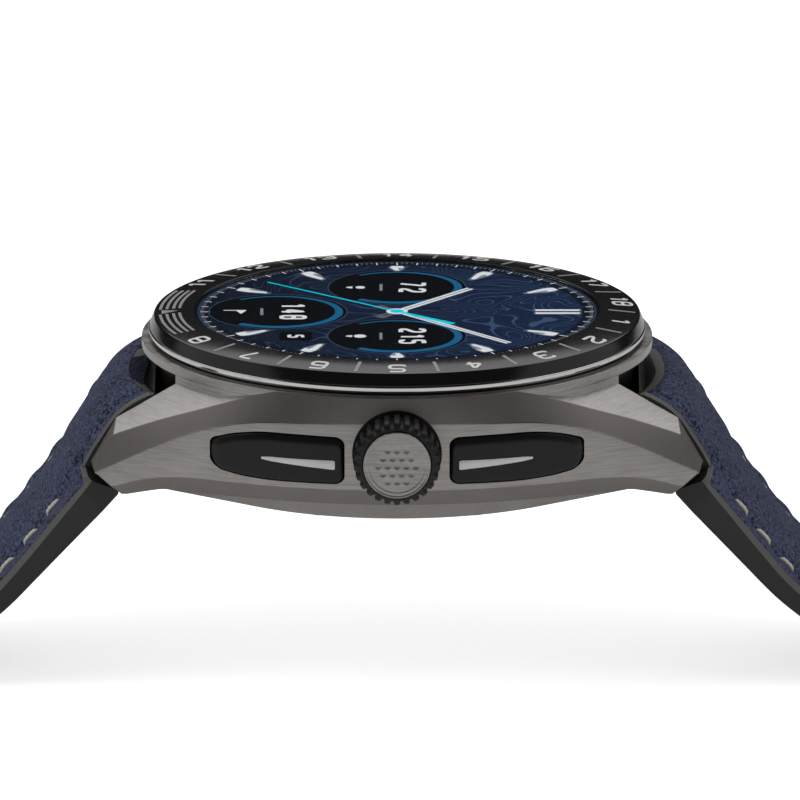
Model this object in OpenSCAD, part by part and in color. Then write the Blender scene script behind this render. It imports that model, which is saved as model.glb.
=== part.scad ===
// Golf GPS watch: a round metal case with a numbered bezel, a turning and pressing
// crown, two pushers, and an open two-part strap of rubber and leather with a pin
// buckle. The head stands on the two strap legs, which run out flat at their ends.
// +X leaves the case through the crown, +Y points to 12 o'clock and +Z out of the dial.
// The origin is the middle of the caseback's flat underside. Sizes are in millimetres.

/* [Case] */
// Diameter of the case ring under the bezel
case_d = 45; // [44:0.25:46]
// Height of the case ring's top face above the caseback's underside
case_top = 11.15; // [10.9:0.05:11.8]
// Height of the case ring's band
ring_band = 1.25; // [1:0.05:1.5]
// Diameter of the barrel between the lugs
barrel_d = 41.8; // [41.2:0.1:42.2]
// Diameter of the hollow for the works
cavity_d = 37.2; // [36.8:0.1:37.6]
// Half width of the case across the crown side, in the middle
side_half = 22.7; // [22.6:0.1:23.4]
// Radius of the side face seen from above
side_r = 36; // [33:0.5:40]
// Height of the side face's lower edge
side_low = 3; // [2.6:0.1:3.4]
// Width that the side's bevels take off
side_bevel = 0.8; // [0.5:0.1:1.1]
// Length of the case from lug tip to lug tip
lug_span = 53.8; // [53:0.2:55]
// Gap between the two lugs that hold a strap
lug_gap = 22.4; // [21.8:0.1:23]

/* [Caseback] */
// Thickness of the caseback plate
back_t = 1.6; // [1.4:0.1:1.9]
// Width of the caseback's flat ends
back_end_w = 20.8; // [18:0.2:22]
// Diameter of the sensor window
window_d = 14; // [12:0.5:16]
// Diameter of a caseback screw's thread
screw_d = 1; // [0.8:0.1:1.1]

/* [Bezel and glass] */
// Outer diameter of the bezel ring
bezel_d = 43.6; // [43:0.1:44]
// Height of the bezel ring
bezel_h = 1.44; // [1.3:0.02:1.7]
// Width of the bezel ring, from its opening to its rim
bezel_w = 3.96; // [3.8:0.02:4.2]
// Height that the numbered cone falls from the opening to the rim
cone_fall = 0.72; // [0.5:0.02:0.8]
// Size of the bezel rim's chamfer
rim_chamfer = 0.72; // [0.4:0.02:0.72]
// Height of the polished trim ring
trim_h = 0.78; // [0.6:0.02:1]
// Height of the gasket under the trim ring
gasket_h = 0.34; // [0.2:0.02:0.5]
// Width of that gasket
gasket_w = 2.9; // [2.5:0.05:2.9]
// Thickness of the cover glass
glass_t = 1.3; // [1:0.05:1.4]

/* [Crown] */
// Diameter of the crown
crown_d = 7.6; // [7:0.1:7.9]
// Length of the crown
crown_l = 3.6; // [3.2:0.1:4.2]
// Height of the crown's axis
crown_z = 6.4; // [6:0.05:6.6]
// Number of teeth round the crown
crown_teeth = 22; // [16:1:30]
// Diameter of the disc on the crown's end
crown_cap_d = 6; // [5:0.1:6.2]
// How far the crown presses in
crown_press = 0.5; // [0.3:0.05:0.6]

/* [Pushers] */
// Distance from the crown's axis to a pusher's inner end
pusher_in = 4.7; // [4.5:0.1:5.5]
// Distance from the crown's axis to a pusher's outer end
pusher_out = 16.3; // [14.6:0.1:16.6]
// Height of the middle of a pusher
pusher_z = 5.75; // [5.5:0.05:6]
// Height of a pusher's inner end
pusher_h_in = 4; // [3.2:0.1:4.2]
// Height of a pusher's outer end
pusher_h_out = 2.5; // [2:0.1:3]
// How far a pusher presses in
pusher_press = 0.8; // [0.5:0.05:0.9]
// How far a pusher stands out of the side face
pusher_proud = 0.25; // [0:0.05:0.4]

/* [Strap] */
// Width of the strap past its shoulders
strap_w = 20; // [18:0.5:22]
// Width of the strap's shoulders beyond the lugs
shoulder_w = 28; // [26:0.5:28.4]
// Thickness of the rubber base
rubber_t = 1.6; // [1.4:0.1:2]
// Extra thickness of the rubber at the lugs
rubber_root_t = 1.9; // [1.5:0.1:2.2]
// Thickness of the leather at its sewn edge
leather_t = 0.8; // [0.6:0.1:1]
// Extra thickness of the leather where it is padded
padding_t = 0.7; // [0.4:0.1:1]
// Width of the rubber lip beside the leather
lip_w = 0.6; // [0.4:0.1:1]
// Angle at which the strap leaves the head, below level
leg_angle = 48.3; // [44:0.5:52]
// Radius of the bend from the sloping leg to the flat end
leg_bend_r = 27; // [22:1:32]
// Height of the table under the caseback
table_drop = 18.2; // [17:0.2:20]
// Flat length of the 12 o'clock half, up to the buckle's bar
flat_12 = 43.3; // [40:0.5:50]
// Flat length of the 6 o'clock half
flat_6 = 82; // [76:1:90]
// Diameter of the spring bars
bar_d = 1.8; // [1.5:0.1:2]
// Diameter of a spring bar's tip
bar_tip_d = 1; // [0.8:0.1:1.1]
// Diameter of the holes for the buckle's tongue
hole_d = 2.6; // [2.4:0.1:3]
// Distance from one hole to the next
hole_pitch = 7; // [6:0.5:8]
// Number of holes
hole_count = 7; // [5:1:8]
// Distance from one stitch to the next
stitch_pitch = 3.37; // [3:0.1:4]

/* [Buckle and keepers] */
// Thickness of a keeper's band
keeper_t = 1; // [0.8:0.1:1.2]
// Length of a keeper along the strap
keeper_l = 5; // [4:0.5:6]
// Distance from the buckle's bar back to the fixed keeper's middle
keeper_back = 14; // [12:0.5:16]
// Gap between the two keepers as the strap is worn
keeper_apart = 9; // [6:0.5:11]
// Length of the buckle's frame from its bar to its front
buckle_l = 10; // [9:0.5:12]
// Thickness of the buckle's frame
buckle_t = 2.2; // [1.8:0.1:2.6]
// Width of a side arm of the buckle's frame
buckle_arm = 2.1; // [1.6:0.1:2.6]
// Diameter of the buckle's bar
buckle_bar_d = 1.8; // [1.5:0.1:2]
// Diameter of the tongue
tongue_d = 1.5; // [1.3:0.1:1.7]

/* [Works] */
// Width of the battery across the case
battery_w = 19; // [16:0.5:20]
// Length of the battery
battery_l = 25; // [20:0.5:26]
// Thickness of the battery
battery_t = 3.6; // [3:0.1:4]
// Thickness of the main board
board_t = 0.8; // [0.6:0.1:1]
// Thickness of the display panel
display_t = 0.7; // [0.5:0.05:0.8]

/* [Hidden] */
$fn = 96;

// Clearances: a turning or sliding fit, a seat, a visible gap, and one past every surface
run = 0.05;
seat = 0.02;
gap = 0.2;
past = 1;
far = 200;

// Case heights and radii
ring_low = case_top - ring_band;
side_high = case_top - 2.2;
cavity_r = cavity_d / 2;
barrel_r = barrel_d / 2;
side_x = side_half - side_r;
// Where the round side face runs over into the straight outer face of a lug
lug_start = 14.2;
lug_slope = lug_start / sqrt(side_r * side_r - lug_start * lug_start);
lug_start_x = side_at(lug_start);
tip_y = lug_span / 2;
bar_y = tip_y - 2.7;
bar_z = 3.6;
bar_from_lug = run + 1.2;

// Stack of the head, from the caseback up
trim_z = case_top + gasket_h;
bezel_z = trim_z + trim_h;
bezel_top = bezel_z + bezel_h;
glass_top = bezel_top - 0.1;
glass_z = glass_top - glass_t;
display_z = glass_z - display_t;
opening_r = bezel_d / 2 - bezel_w;
gasket_r = bezel_d / 2 - 0.3;
glass_r = opening_r - 0.12;
deck_z = case_top - 0.75;
board_z = deck_z - 1.7 - board_t;
board_r = cavity_r - 1.2;
battery_z = back_t + 1;
motor_r = 3.1;
motor_x = -(battery_w / 2 + motor_r + 0.3);

// Crown places along X
crown_back = side_half + run;
crown_front = crown_back + crown_l;
crown_seat = side_half - crown_press - 2 * run;
crown_hollow_r = crown_d / 2 - 1;
crown_hollow_end = crown_front - 1;
stem_r = 0.93;
tube_r = 1.6;
tube_bore = stem_r + 0.07;
tube_cup = tube_bore + 0.3;
tube_end = crown_hollow_end - crown_press - 0.3;
tube_in = cavity_r - 0.8;
sleeve_x = tube_in - 1.6;
cap_t = 0.4;

// Pusher places
pusher_mid = (pusher_in + pusher_out) / 2;
pocket_depth = 2.6;
pusher_thick = pocket_depth - pusher_press - 0.4;
pusher_stem_r = 0.8;
inlay_t = 0.45;
pusher_floor = side_at(pusher_mid) - pocket_depth;
// Flat seat of the pusher's spring, under the pocket's floor, and the coils' radius
spring_seat = pusher_floor - 0.7;
spring_r = pusher_stem_r + 0.6;
pusher_cavity_x = sqrt(cavity_r * cavity_r - pusher_mid * pusher_mid);
pusher_stem_in = pusher_cavity_x - 0.9;
switch_x = pusher_stem_in - pusher_press - 0.1;

// Strap places, measured from the spring bar's axis
end_half = lug_gap / 2 - gap;
end_clear = 3.15;
root_y = bar_y + 0.4;
root_z = bar_z - 3.3;
shoulder_y = bar_y + 2.9;
taper_end = 54;
table_z = -table_drop;
// The 12 o'clock half lies on its keepers' bands, the 6 o'clock half on the table
flat_z_12 = table_z + keeper_t + run;
flat_z_6 = table_z;
root_len = 12;
hole_from_tip = 28;
tip_len = 9;
strap_h = rubber_t + leather_t + padding_t;

// Buckle places
loop_r = 1.9;
buckle_y = flat_start(flat_z_12) + flat_12;
buckle_z = flat_z_12 + loop_r;
buckle_half = strap_w / 2 + 0.35 + buckle_arm;
keeper_h = 2 * strap_h + 0.3;
keeper_fixed_y = buckle_y - keeper_back;
keeper_sliding_y = keeper_fixed_y - keeper_l - keeper_apart;

// X of the side face at a distance y from the crown's axis, within the round stretch
function side_at(y) = side_x + sqrt(side_r * side_r - y * y);

// Distance along the leg's straight stretch, and the y where the flat end starts
function leg_straight(flat_z) =
    (root_z - flat_z - leg_bend_r * (1 - cos(leg_angle))) / sin(leg_angle);
function flat_start(flat_z) =
    root_y + leg_straight(flat_z) * cos(leg_angle) + leg_bend_r * sin(leg_angle);
function flat_s(flat_z) = leg_straight(flat_z) + leg_bend_r * leg_angle * PI / 180;

// Angle below level and place [y, z] on the strap's underside at a distance s from its root
function leg_turn(s, flat_z) =
    max(0, leg_angle - max(0, s - leg_straight(flat_z)) / leg_bend_r * 180 / PI);
function underside(s, flat_z) =
    let (straight = min(s, leg_straight(flat_z)), a = leg_turn(s, flat_z),
         level = max(0, s - flat_s(flat_z)))
    [root_y + straight * cos(leg_angle) + leg_bend_r * (sin(leg_angle) - sin(a)) + level,
     root_z - straight * sin(leg_angle) - leg_bend_r * (cos(a) - cos(leg_angle))];
// Place at a height above the underside, square to it
function above(s, h, flat_z) =
    let (a = leg_turn(s, flat_z)) underside(s, flat_z) + h * [sin(a), cos(a)];
// Thickness of the rubber at s
function rubber_at(s) = rubber_t + rubber_root_t * pow(max(0, 1 - s / root_len), 2);
// Distances along the strap at which its outlines get a point
function stations(flat_z, s_end) =
    concat([0.8, 2.5, 4.5, 6.5, 8.5, 10.5],
           [for (i = [0:8]) max(12, leg_straight(flat_z)) + i * 2.35],
           [flat_s(flat_z) + 0.5, s_end]);
// Half width of the strap at y
function half_width(y) =
    let (u = min(1, max(0, (y - shoulder_y) / (taper_end - shoulder_y))))
    strap_w / 2 + (shoulder_w - strap_w) / 2 * pow(1 - u, 2);

// Everything beyond the plane through p whose outward direction is n
module beyond(p, n) {
    translate(p)
        rotate([0, acos(n.z / norm(n)), atan2(n.y, n.x)])
            translate([-far / 2, -far / 2, 0]) cube(far);
}

// A copy of the children on each side of the middle, along X, along Y, or both
module both_x() {
    for (side = [0, 1])
        mirror([side, 0, 0]) children();
}
module both_y() {
    for (side = [0, 1])
        mirror([0, side, 0]) children();
}

// A cylinder that runs along X from x0 to x1
module rod_x(x0, x1, r, y = 0, z = 0) {
    translate([x0, y, z]) rotate([0, 90, 0]) cylinder(r = r, h = x1 - x0);
}

// A profile in Y and Z carried along X from x0 to x1
module along_x(x0, x1) {
    translate([x0, 0, 0]) rotate([90, 0, 90]) linear_extrude(x1 - x0) children();
}

// A flat ring
module washer(r_in, r_out, z0, z1) {
    difference() {
        translate([0, 0, z0]) cylinder(r = r_out, h = z1 - z0);
        translate([0, 0, z0 - past]) cylinder(r = r_in, h = z1 - z0 + 2 * past);
    }
}

// A rubber seal or one coil of a spring, round the X axis
module ring_x(x, r_mid, r_wire) {
    translate([x, 0, 0]) rotate([0, 90, 0])
        rotate_extrude() translate([r_mid, 0]) circle(r_wire);
}

// ---- Case ----

// The round middle of the case between its two side faces, with bevels at both edges
module side_disc() {
    translate([side_x, 0, back_t])
        cylinder(r1 = side_r - side_bevel, r2 = side_r, h = side_low - back_t);
    translate([side_x, 0, side_low])
        cylinder(r = side_r, h = side_high - side_low);
    translate([side_x, 0, side_high])
        cylinder(r1 = side_r, r2 = side_r - side_bevel, h = case_top - 0.05 - side_high);
}

// One lug, before its facets: straight outer face, flat inner face, rising underside
module lug_prism() {
    low = bar_z - 2.9;
    end_y = tip_y + past;
    difference() {
        translate([0, 0, low]) linear_extrude(case_top - 0.05 - low)
            polygon([
                [lug_gap / 2, lug_start - past],
                [lug_start_x + past * lug_slope, lug_start - past],
                [lug_start_x, lug_start],
                [lug_start_x - (end_y - lug_start) * lug_slope, end_y],
                [lug_gap / 2, end_y]
            ]);
        intersection() {
            beyond([0, bar_y - 0.1, low], [0, -0.26, -1]);
            translate([0, 0, back_t - far]) cube(far);
        }
    }
}

// The facets of one lug: top, end, outer bevel, under the tip, lower bevel
module lug_facets() {
    beyond([lug_gap / 2, tip_y - 2.24, bar_z + 3.2], [0.42, 0.587, 1]);
    beyond([lug_gap / 2, tip_y - 2.24, bar_z + 3.2], [0.29, 1.76, 1]);
    beyond([lug_start_x - 1.8 - 2.8 * lug_slope, lug_start + 2.8, side_high + 0.15],
           [0.86, 0.885, 1]);
    beyond([0, tip_y - 0.4, bar_z - 1], [0, 0.62, -0.784]);
    beyond([lug_start_x - 4.6 * lug_slope, lug_start + 4.6, side_low], [1.75, 0.5, -1]);
}

// The outline of a pusher in Y and Z, grown by a clearance on every side
module pusher_outline(grow) {
    y0 = pusher_in - grow;
    y1 = pusher_out + grow;
    h0 = pusher_h_in / 2 + grow;
    h1 = pusher_h_out / 2 + grow;
    cut = 0.5;
    polygon([
        [y0, pusher_z - h0 + cut], [y0, pusher_z + h0 - cut],
        [y0 + cut, pusher_z + h0], [y0 + (y1 - y0) * 0.62, pusher_z + h0],
        [y0 + (y1 - y0) * 0.82, pusher_z + h0 * 0.4 + h1 * 0.6],
        [y1 - cut / 2, pusher_z + h1], [y1, pusher_z + h1 - cut],
        [y1, pusher_z - h1 + cut * 1.5], [y1 - cut, pusher_z - h1],
        [y0 + (y1 - y0) * 0.45, pusher_z - h0], [y0 + cut, pusher_z - h0]
    ]);
}

// What lies between two depths under the side face, positive outwards
module side_layer(inner, outer) {
    difference() {
        translate([side_x, 0, 0]) cylinder(r = side_r + outer, h = case_top);
        translate([side_x, 0, -past]) cylinder(r = side_r + inner, h = case_top + 2 * past);
    }
}

module pusher_pocket() {
    intersection() {
        along_x(0, far) pusher_outline(0.12);
        side_layer(-pocket_depth, far / 4);
    }
    rod_x(pusher_cavity_x - past, far / 4, pusher_stem_r + run, pusher_mid, pusher_z);
    rod_x(spring_seat, pusher_floor + past, spring_r + 0.25, pusher_mid, pusher_z);
    rod_x(pusher_cavity_x - 3, pusher_cavity_x + 0.2, pusher_stem_r + 0.6, pusher_mid, pusher_z);
}

module screw_places() {
    for (a = [20, 160, 200, 340])
        rotate(a) translate([(barrel_r + cavity_r) / 2, 0, 0]) children();
}

module mid_case() {
    color([0.57, 0.56, 0.56])
    difference() {
        union() {
            difference() {
                union() {
                    intersection() {
                        side_disc();
                        mirror([1, 0, 0]) side_disc();
                        translate([-far / 2, -lug_start, 0]) cube([far, 2 * lug_start, far]);
                    }
                    both_x() both_y() lug_prism();
                }
                both_x() both_y() lug_facets();
            }
            translate([0, 0, back_t]) cylinder(r = barrel_r, h = case_top - back_t);
            translate([0, 0, ring_low]) cylinder(r = case_d / 2, h = ring_band);
        }
        // Hollow for the works, closed by the caseback and the glass
        translate([0, 0, -past]) cylinder(r = cavity_r, h = case_top + 2 * past);
        // Blind holes for the spring bars' tips
        both_x() both_y()
            rod_x(lug_gap / 2 - past, lug_gap / 2 + bar_from_lug + 0.3,
                  bar_tip_d / 2 + run, bar_y, bar_z);
        // Seat and tube hole of the crown
        rod_x(crown_seat, far / 2, crown_d / 2 + gap, 0, crown_z);
        rod_x(0, far / 2, tube_r, 0, crown_z);
        both_y() pusher_pocket();
        screw_places() translate([0, 0, -past]) cylinder(d = screw_d, h = past + back_t + 2.4);
    }
}

// ---- Bezel, glass and display ----

module bezel_ring() {
    color([0.04, 0.04, 0.045])
    rotate_extrude() polygon([
        [opening_r, bezel_z], [bezel_d / 2, bezel_z],
        [bezel_d / 2, bezel_top - cone_fall - rim_chamfer + 0.0001],
        [bezel_d / 2 - rim_chamfer, bezel_top - cone_fall], [opening_r, bezel_top]
    ]);
}

module trim_ring() {
    color([0.78, 0.78, 0.78])
    washer(opening_r + 0.06, bezel_d / 2 + 0.1, trim_z, bezel_z);
}

module bezel_gasket() {
    color([0.05, 0.05, 0.05])
    washer(gasket_r - gasket_w, gasket_r, case_top, trim_z);
}

module cover_glass() {
    edge = 0.15;
    color([0.6, 0.65, 0.7, 0.4])
    rotate_extrude() polygon([
        [0, glass_z], [glass_r, glass_z], [glass_r, glass_top - edge],
        [glass_r - edge, glass_top], [0, glass_top]
    ]);
}

module display_panel() {
    color([0.06, 0.1, 0.2])
    translate([0, 0, display_z]) cylinder(r = glass_r - 0.1, h = display_t);
}

// Metal plate that carries the display and closes the works from above
module display_chassis() {
    color([0.35, 0.36, 0.38])
    union() {
        translate([0, 0, deck_z]) cylinder(r = cavity_r, h = 0.5);
        translate([0, 0, deck_z]) cylinder(r = glass_r - 0.6, h = display_z - deck_z);
    }
}

// Aerial ring for the satellite receiver, round the chassis
module gps_antenna() {
    color([0.75, 0.55, 0.3])
    washer(glass_r - 0.6, cavity_r - 0.15, deck_z + 0.5, case_top - 0.05);
}

// ---- Works ----

module main_board() {
    color([0.05, 0.25, 0.12])
    translate([0, 0, board_z]) cylinder(r = board_r, h = board_t);
}

module board_chips() {
    top = board_z + board_t;
    color([0.1, 0.1, 0.11])
    for (place = [[-11, 5, 5, 6, 1], [-11, -5, 4, 4, 0.9], [-3, -11.5, 6, 5, 0.8],
                  [6, -11, 4, 3, 0.7], [-2, 12, 5, 3, 0.7]])
        translate([place[0] - place[2] / 2, place[1] - place[3] / 2, top])
            cube([place[2], place[3], place[4]]);
}

module shield_can() {
    top = board_z + board_t;
    color([0.75, 0.76, 0.78])
    difference() {
        translate([-6, -7, top]) cube([16, 15, 1.3]);
        translate([-5.8, -6.8, top - past]) cube([15.6, 14.6, 1.1 + past]);
    }
}

module battery() {
    color([0.6, 0.6, 0.62])
    translate([-battery_w / 2, -battery_l / 2, battery_z])
        cube([battery_w, battery_l, battery_t]);
}

module vibration_motor() {
    color([0.7, 0.7, 0.72])
    translate([motor_x, 0, back_t]) cylinder(r = motor_r, h = 2.8);
}

// Plastic carrier: a floor under the battery and a wall under the board's rim
module inner_frame() {
    floor_t = 0.3;
    wall = 1.2;
    open_x = battery_w / 2 + 0.3;
    color([0.18, 0.18, 0.19])
    difference() {
        union() {
            washer(board_r - wall, board_r, back_t, board_z);
            translate([0, 0, battery_z - floor_t]) cylinder(r = board_r - wall / 2, h = floor_t);
        }
        // Room for the crown's and pushers' inner ends, and for the motor
        translate([open_x, -far / 2, -past]) cube([far, far, far]);
        translate([motor_x, 0, 0]) cylinder(r = motor_r + gap, h = far);
    }
}

// Board with the lamps and receivers of the heart-rate sensor
module sensor_board() {
    color([0.05, 0.2, 0.12])
    translate([0, 0, back_t]) cylinder(d = window_d - 1, h = 0.7);
}

// ---- Caseback ----

// Round plate with flat ends, grown by a clearance
module back_outline(grow = 0) {
    r = barrel_r + grow;
    x = back_end_w / 2;
    y = r - 0.3;
    turn = acos(r / norm([x, y]));
    a = atan2(y, x) - turn;
    touch = r * [cos(a), sin(a)];
    circle(r);
    polygon([[x, y], touch, [touch.x, -touch.y], [x, -y],
             [-x, -y], [-touch.x, -touch.y], [-touch.x, touch.y], [-x, y]]);
}

module caseback() {
    chamfer = 0.5;
    color([0.4, 0.39, 0.39])
    difference() {
        union() {
            translate([0, 0, chamfer]) linear_extrude(back_t - chamfer) back_outline();
            linear_extrude(chamfer) back_outline(-0.4);
        }
        translate([0, 0, -past]) cylinder(d = window_d + 2 * seat, h = far);
        translate([0, 0, back_t - 0.6]) cylinder(d = window_d + 1.6 + 2 * seat, h = far);
        screw_places() translate([0, 0, -past]) cylinder(d = screw_d, h = far);
        screw_places() translate([0, 0, -past]) cylinder(d = screw_d + 0.7, h = past + 0.5);
        contact_places() translate([0, 0, -past]) cylinder(r = 0.9, h = far);
        washer(cavity_r - 0.9, cavity_r - 0.1, back_t - 0.5, back_t + past);
    }
}

module caseback_gasket() {
    color([0.08, 0.08, 0.08])
    washer(cavity_r - 0.88, cavity_r - 0.12, back_t - 0.48, back_t + 0.1);
}

module sensor_window() {
    color([0.08, 0.08, 0.1, 0.8])
    union() {
        cylinder(d = window_d, h = back_t);
        translate([0, 0, back_t - 0.58]) cylinder(d = window_d + 1.6, h = 0.58);
    }
}

module contact_places() {
    for (i = [-1.5:1:1.5])
        translate([i * 3.2, -13, 0]) children();
}

module charging_contacts() {
    color([0.83, 0.68, 0.4])
    contact_places() translate([0, 0, 0.05]) cylinder(r = 0.9, h = back_t - 0.05);
}

module caseback_screws() {
    color([0.7, 0.7, 0.7])
    screw_places() {
        cylinder(d = screw_d, h = back_t + 2.2);
        difference() {
            cylinder(d = screw_d + 0.7, h = 0.48);
            translate([0, 0, -past]) cylinder(d = 0.7, h = past + 0.3, $fn = 6);
        }
    }
}

// ---- Crown ----

module crown_tube() {
    color([0.6, 0.6, 0.6])
    translate([0, 0, crown_z]) difference() {
        rod_x(tube_in, tube_end, tube_r);
        rod_x(0, far, tube_bore);
        rod_x(tube_end - 1.8, far, tube_cup);
    }
}

// Block under the board that feels the crown turn and press
module crown_encoder() {
    color([0.15, 0.15, 0.16])
    translate([sleeve_x - crown_press - 3.1, -2, crown_z - 1.5])
        cube([3, 4, board_z - crown_z + 1.5]);
}

// Coils round the tube that push the crown out again
module crown_spring() {
    x0 = crown_seat + 0.25;
    step = (crown_hollow_end - 0.25 - x0) / 4;
    color([0.75, 0.75, 0.77])
    translate([0, 0, crown_z]) for (i = [0:4]) ring_x(x0 + i * step, tube_r + 0.4, 0.16);
}

// Collar round the stem's inner end: it slides with the crown and does not turn
module crown_sleeve() {
    color([0.7, 0.7, 0.72])
    translate([0, 0, crown_z]) difference() {
        rod_x(sleeve_x, tube_in - 0.1, tube_r - 0.1);
        rod_x(0, far, stem_r + run);
    }
}

module crown_knob() {
    groove_r = 0.32;
    color([0.06, 0.06, 0.065])
    translate([0, 0, crown_z]) difference() {
        rotate([0, 90, 0]) rotate_extrude() polygon([
            [0, crown_front], [crown_cap_d / 2 + 0.35, crown_front],
            [crown_d / 2, crown_front - 0.4], [crown_d / 2, crown_back + 0.4],
            [crown_d / 2 - 0.4, crown_back], [0, crown_back]
        ]);
        rod_x(0, crown_hollow_end, crown_hollow_r);
        rod_x(crown_front - cap_t + 0.1, far, crown_cap_d / 2 + seat);
        for (i = [0:crown_teeth - 1])
            rotate([i * 360 / crown_teeth, 0, 0])
                rod_x(0, far, groove_r, 0, crown_d / 2 + groove_r * 0.25);
    }
}

module crown_cap() {
    dimples = 6;
    color([0.6, 0.59, 0.58])
    translate([0, 0, crown_z]) difference() {
        rod_x(crown_front - cap_t + 0.1, crown_front + 0.3, crown_cap_d / 2);
        difference() {
            rod_x(crown_front + 0.2, far, crown_cap_d / 2 - 0.5);
            rod_x(0, far, crown_cap_d / 2 - 1);
        }
        for (i = [0:dimples - 1])
            rotate([i * 360 / dimples, 0, 0]) rod_x(crown_front + 0.15, far, 0.2, 0, 1.1);
    }
}

module crown_stem() {
    color([0.7, 0.7, 0.72])
    rod_x(sleeve_x, crown_hollow_end, stem_r, 0, crown_z);
}

module crown_seal() {
    color([0.05, 0.05, 0.05])
    translate([0, 0, crown_z]) ring_x(tube_end - 0.7, stem_r + 0.17, 0.16);
}

// ---- Pushers, drawn on the 12 o'clock side ----

// Outline of the bright strip on a pusher, which widens towards the crown
module inlay_outline(grow) {
    z = pusher_z - 0.4;
    y0 = pusher_in + 0.9;
    polygon([[y0 - grow, z - 0.42 - grow], [y0 - grow, z + 0.42 + grow],
             [y0 + 6.4 + grow, z + 0.17 + grow], [y0 + 6.4 + grow, z - 0.17 - grow]]);
}

module pusher_cap() {
    difference() {
        intersection() {
            along_x(0, far) pusher_outline(0);
            side_layer(pusher_proud - pusher_thick, pusher_proud);
        }
        intersection() {
            along_x(0, far) inlay_outline(seat);
            side_layer(pusher_proud - inlay_t, far / 4);
        }
    }
}

module pusher_inlay() {
    intersection() {
        along_x(0, far) inlay_outline(0);
        side_layer(pusher_proud - inlay_t, pusher_proud + 0.05);
    }
}

// Stem with a collar inside the case that keeps the pusher in
module pusher_stem() {
    union() {
        rod_x(pusher_stem_in, side_at(pusher_mid) + pusher_proud - pusher_thick + 0.02,
              pusher_stem_r, pusher_mid, pusher_z);
        rod_x(pusher_stem_in, pusher_cavity_x + 0.1 - run, pusher_stem_r + 0.4,
              pusher_mid, pusher_z);
    }
}

module pusher_spring() {
    wire_r = 0.14;
    coils = 4;
    x0 = spring_seat + wire_r;
    x1 = side_at(pusher_mid + spring_r + wire_r) + pusher_proud - pusher_thick - wire_r - run;
    translate([0, pusher_mid, pusher_z])
        for (i = [0:coils - 1]) ring_x(x0 + i * (x1 - x0) / (coils - 1), spring_r, wire_r);
}

module pusher_12_cap() { color([0.03, 0.03, 0.035]) pusher_cap(); }
module pusher_6_cap() { color([0.03, 0.03, 0.035]) mirror([0, 1, 0]) pusher_cap(); }
module pusher_12_inlay() { color([0.85, 0.85, 0.85]) pusher_inlay(); }
module pusher_6_inlay() { color([0.85, 0.85, 0.85]) mirror([0, 1, 0]) pusher_inlay(); }
module pusher_12_stem() { color([0.7, 0.7, 0.72]) pusher_stem(); }
module pusher_6_stem() { color([0.7, 0.7, 0.72]) mirror([0, 1, 0]) pusher_stem(); }
module pusher_12_spring() { color([0.75, 0.75, 0.77]) pusher_spring(); }
module pusher_6_spring() { color([0.75, 0.75, 0.77]) mirror([0, 1, 0]) pusher_spring(); }

// Two key switches under the board, one in front of each pusher's stem
module pusher_switches() {
    color([0.15, 0.15, 0.16])
    both_y() translate([switch_x - 2, pusher_mid - 1.5, pusher_z - 1.2])
        cube([2, 3, board_z - pusher_z + 1.2]);
}

// ---- Strap, drawn on the 12 o'clock side ----

// Points of the strap's crest at the lugs, from the case outwards, at the leather's top
function end_crest() = [
    [bar_y - 2.3, ring_low - 1.1], [bar_y - 0.2, bar_z + 4.1],
    [bar_y + 0.7, bar_z + 3.3], [bar_y + 2, bar_z + 1.4]
];

// Line at a height over the rubber's top, from the crest at the lugs to s_end
function cover_line(h, flat_z, s_end) = concat(
    [for (p = end_crest()) p + (h - leather_t) * [0.5, 0.86]],
    [for (s = stations(flat_z, s_end)) above(s, rubber_at(s) + h, flat_z)]
);

function reversed(path) = [for (i = [len(path) - 1:-1:0]) path[i]];

// Side view of the rubber, with the block between the lugs
module rubber_profile(flat_z, s_end) {
    crest = cover_line(0, flat_z, s_end);
    polygon(concat(
        [[bar_y - 7, bar_z], [bar_y - 7, ring_low - 1.5 - leather_t]],
        crest,
        reversed([for (s = stations(flat_z, s_end)) underside(s, flat_z)]),
        [[root_y, root_z], [bar_y, root_z]]
    ));
}

// Plan view of the strap, inset by an amount, from y0 to y1
module strap_plan(inset, y0, y1) {
    steps = 16;
    ys = concat([for (i = [0:steps]) shoulder_y + inset
                 + (taper_end - shoulder_y - inset) * i / steps], [y1]);
    right = concat([[end_half - inset, y0], [end_half - inset, shoulder_y + inset]],
                   [for (y = ys) [half_width(y) - inset, y]]);
    polygon(concat(right, [for (p = reversed(right)) [-p.x, p.y]]));
}

// What the end between the lugs keeps free: the barrel, and a round path about the bar
module end_clearance() {
    translate([0, 0, -far / 2]) cylinder(r = barrel_r + 0.25, h = far);
    along_x(-far / 2, far / 2) difference() {
        translate([bar_y - far / 4, bar_z - far / 4]) square([far / 4, far / 4]);
        translate([bar_y, bar_z]) circle(end_clear - 0.15);
    }
    both_x() along_x(end_half, far) union() {
        translate([bar_y - far / 4, -far / 4]) square([far / 4, far]);
        translate([bar_y, bar_z]) circle(end_clear);
        translate([bar_y - past, bar_z - 1.2]) square([end_clear + 2 * past, far / 4]);
    }
}

// Rubber base with the spring bar's bore and the slot of its release lever
module strap_rubber(flat_z, s_end, y_end) {
    difference() {
        intersection() {
            along_x(-shoulder_w / 2, shoulder_w / 2) rubber_profile(flat_z, s_end);
            translate([0, 0, -far / 2]) linear_extrude(far) strap_plan(0, 0, y_end);
        }
        end_clearance();
        rod_x(-far / 2, far / 2, bar_d / 2, bar_y, bar_z);
        release_slot();
    }
}

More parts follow.
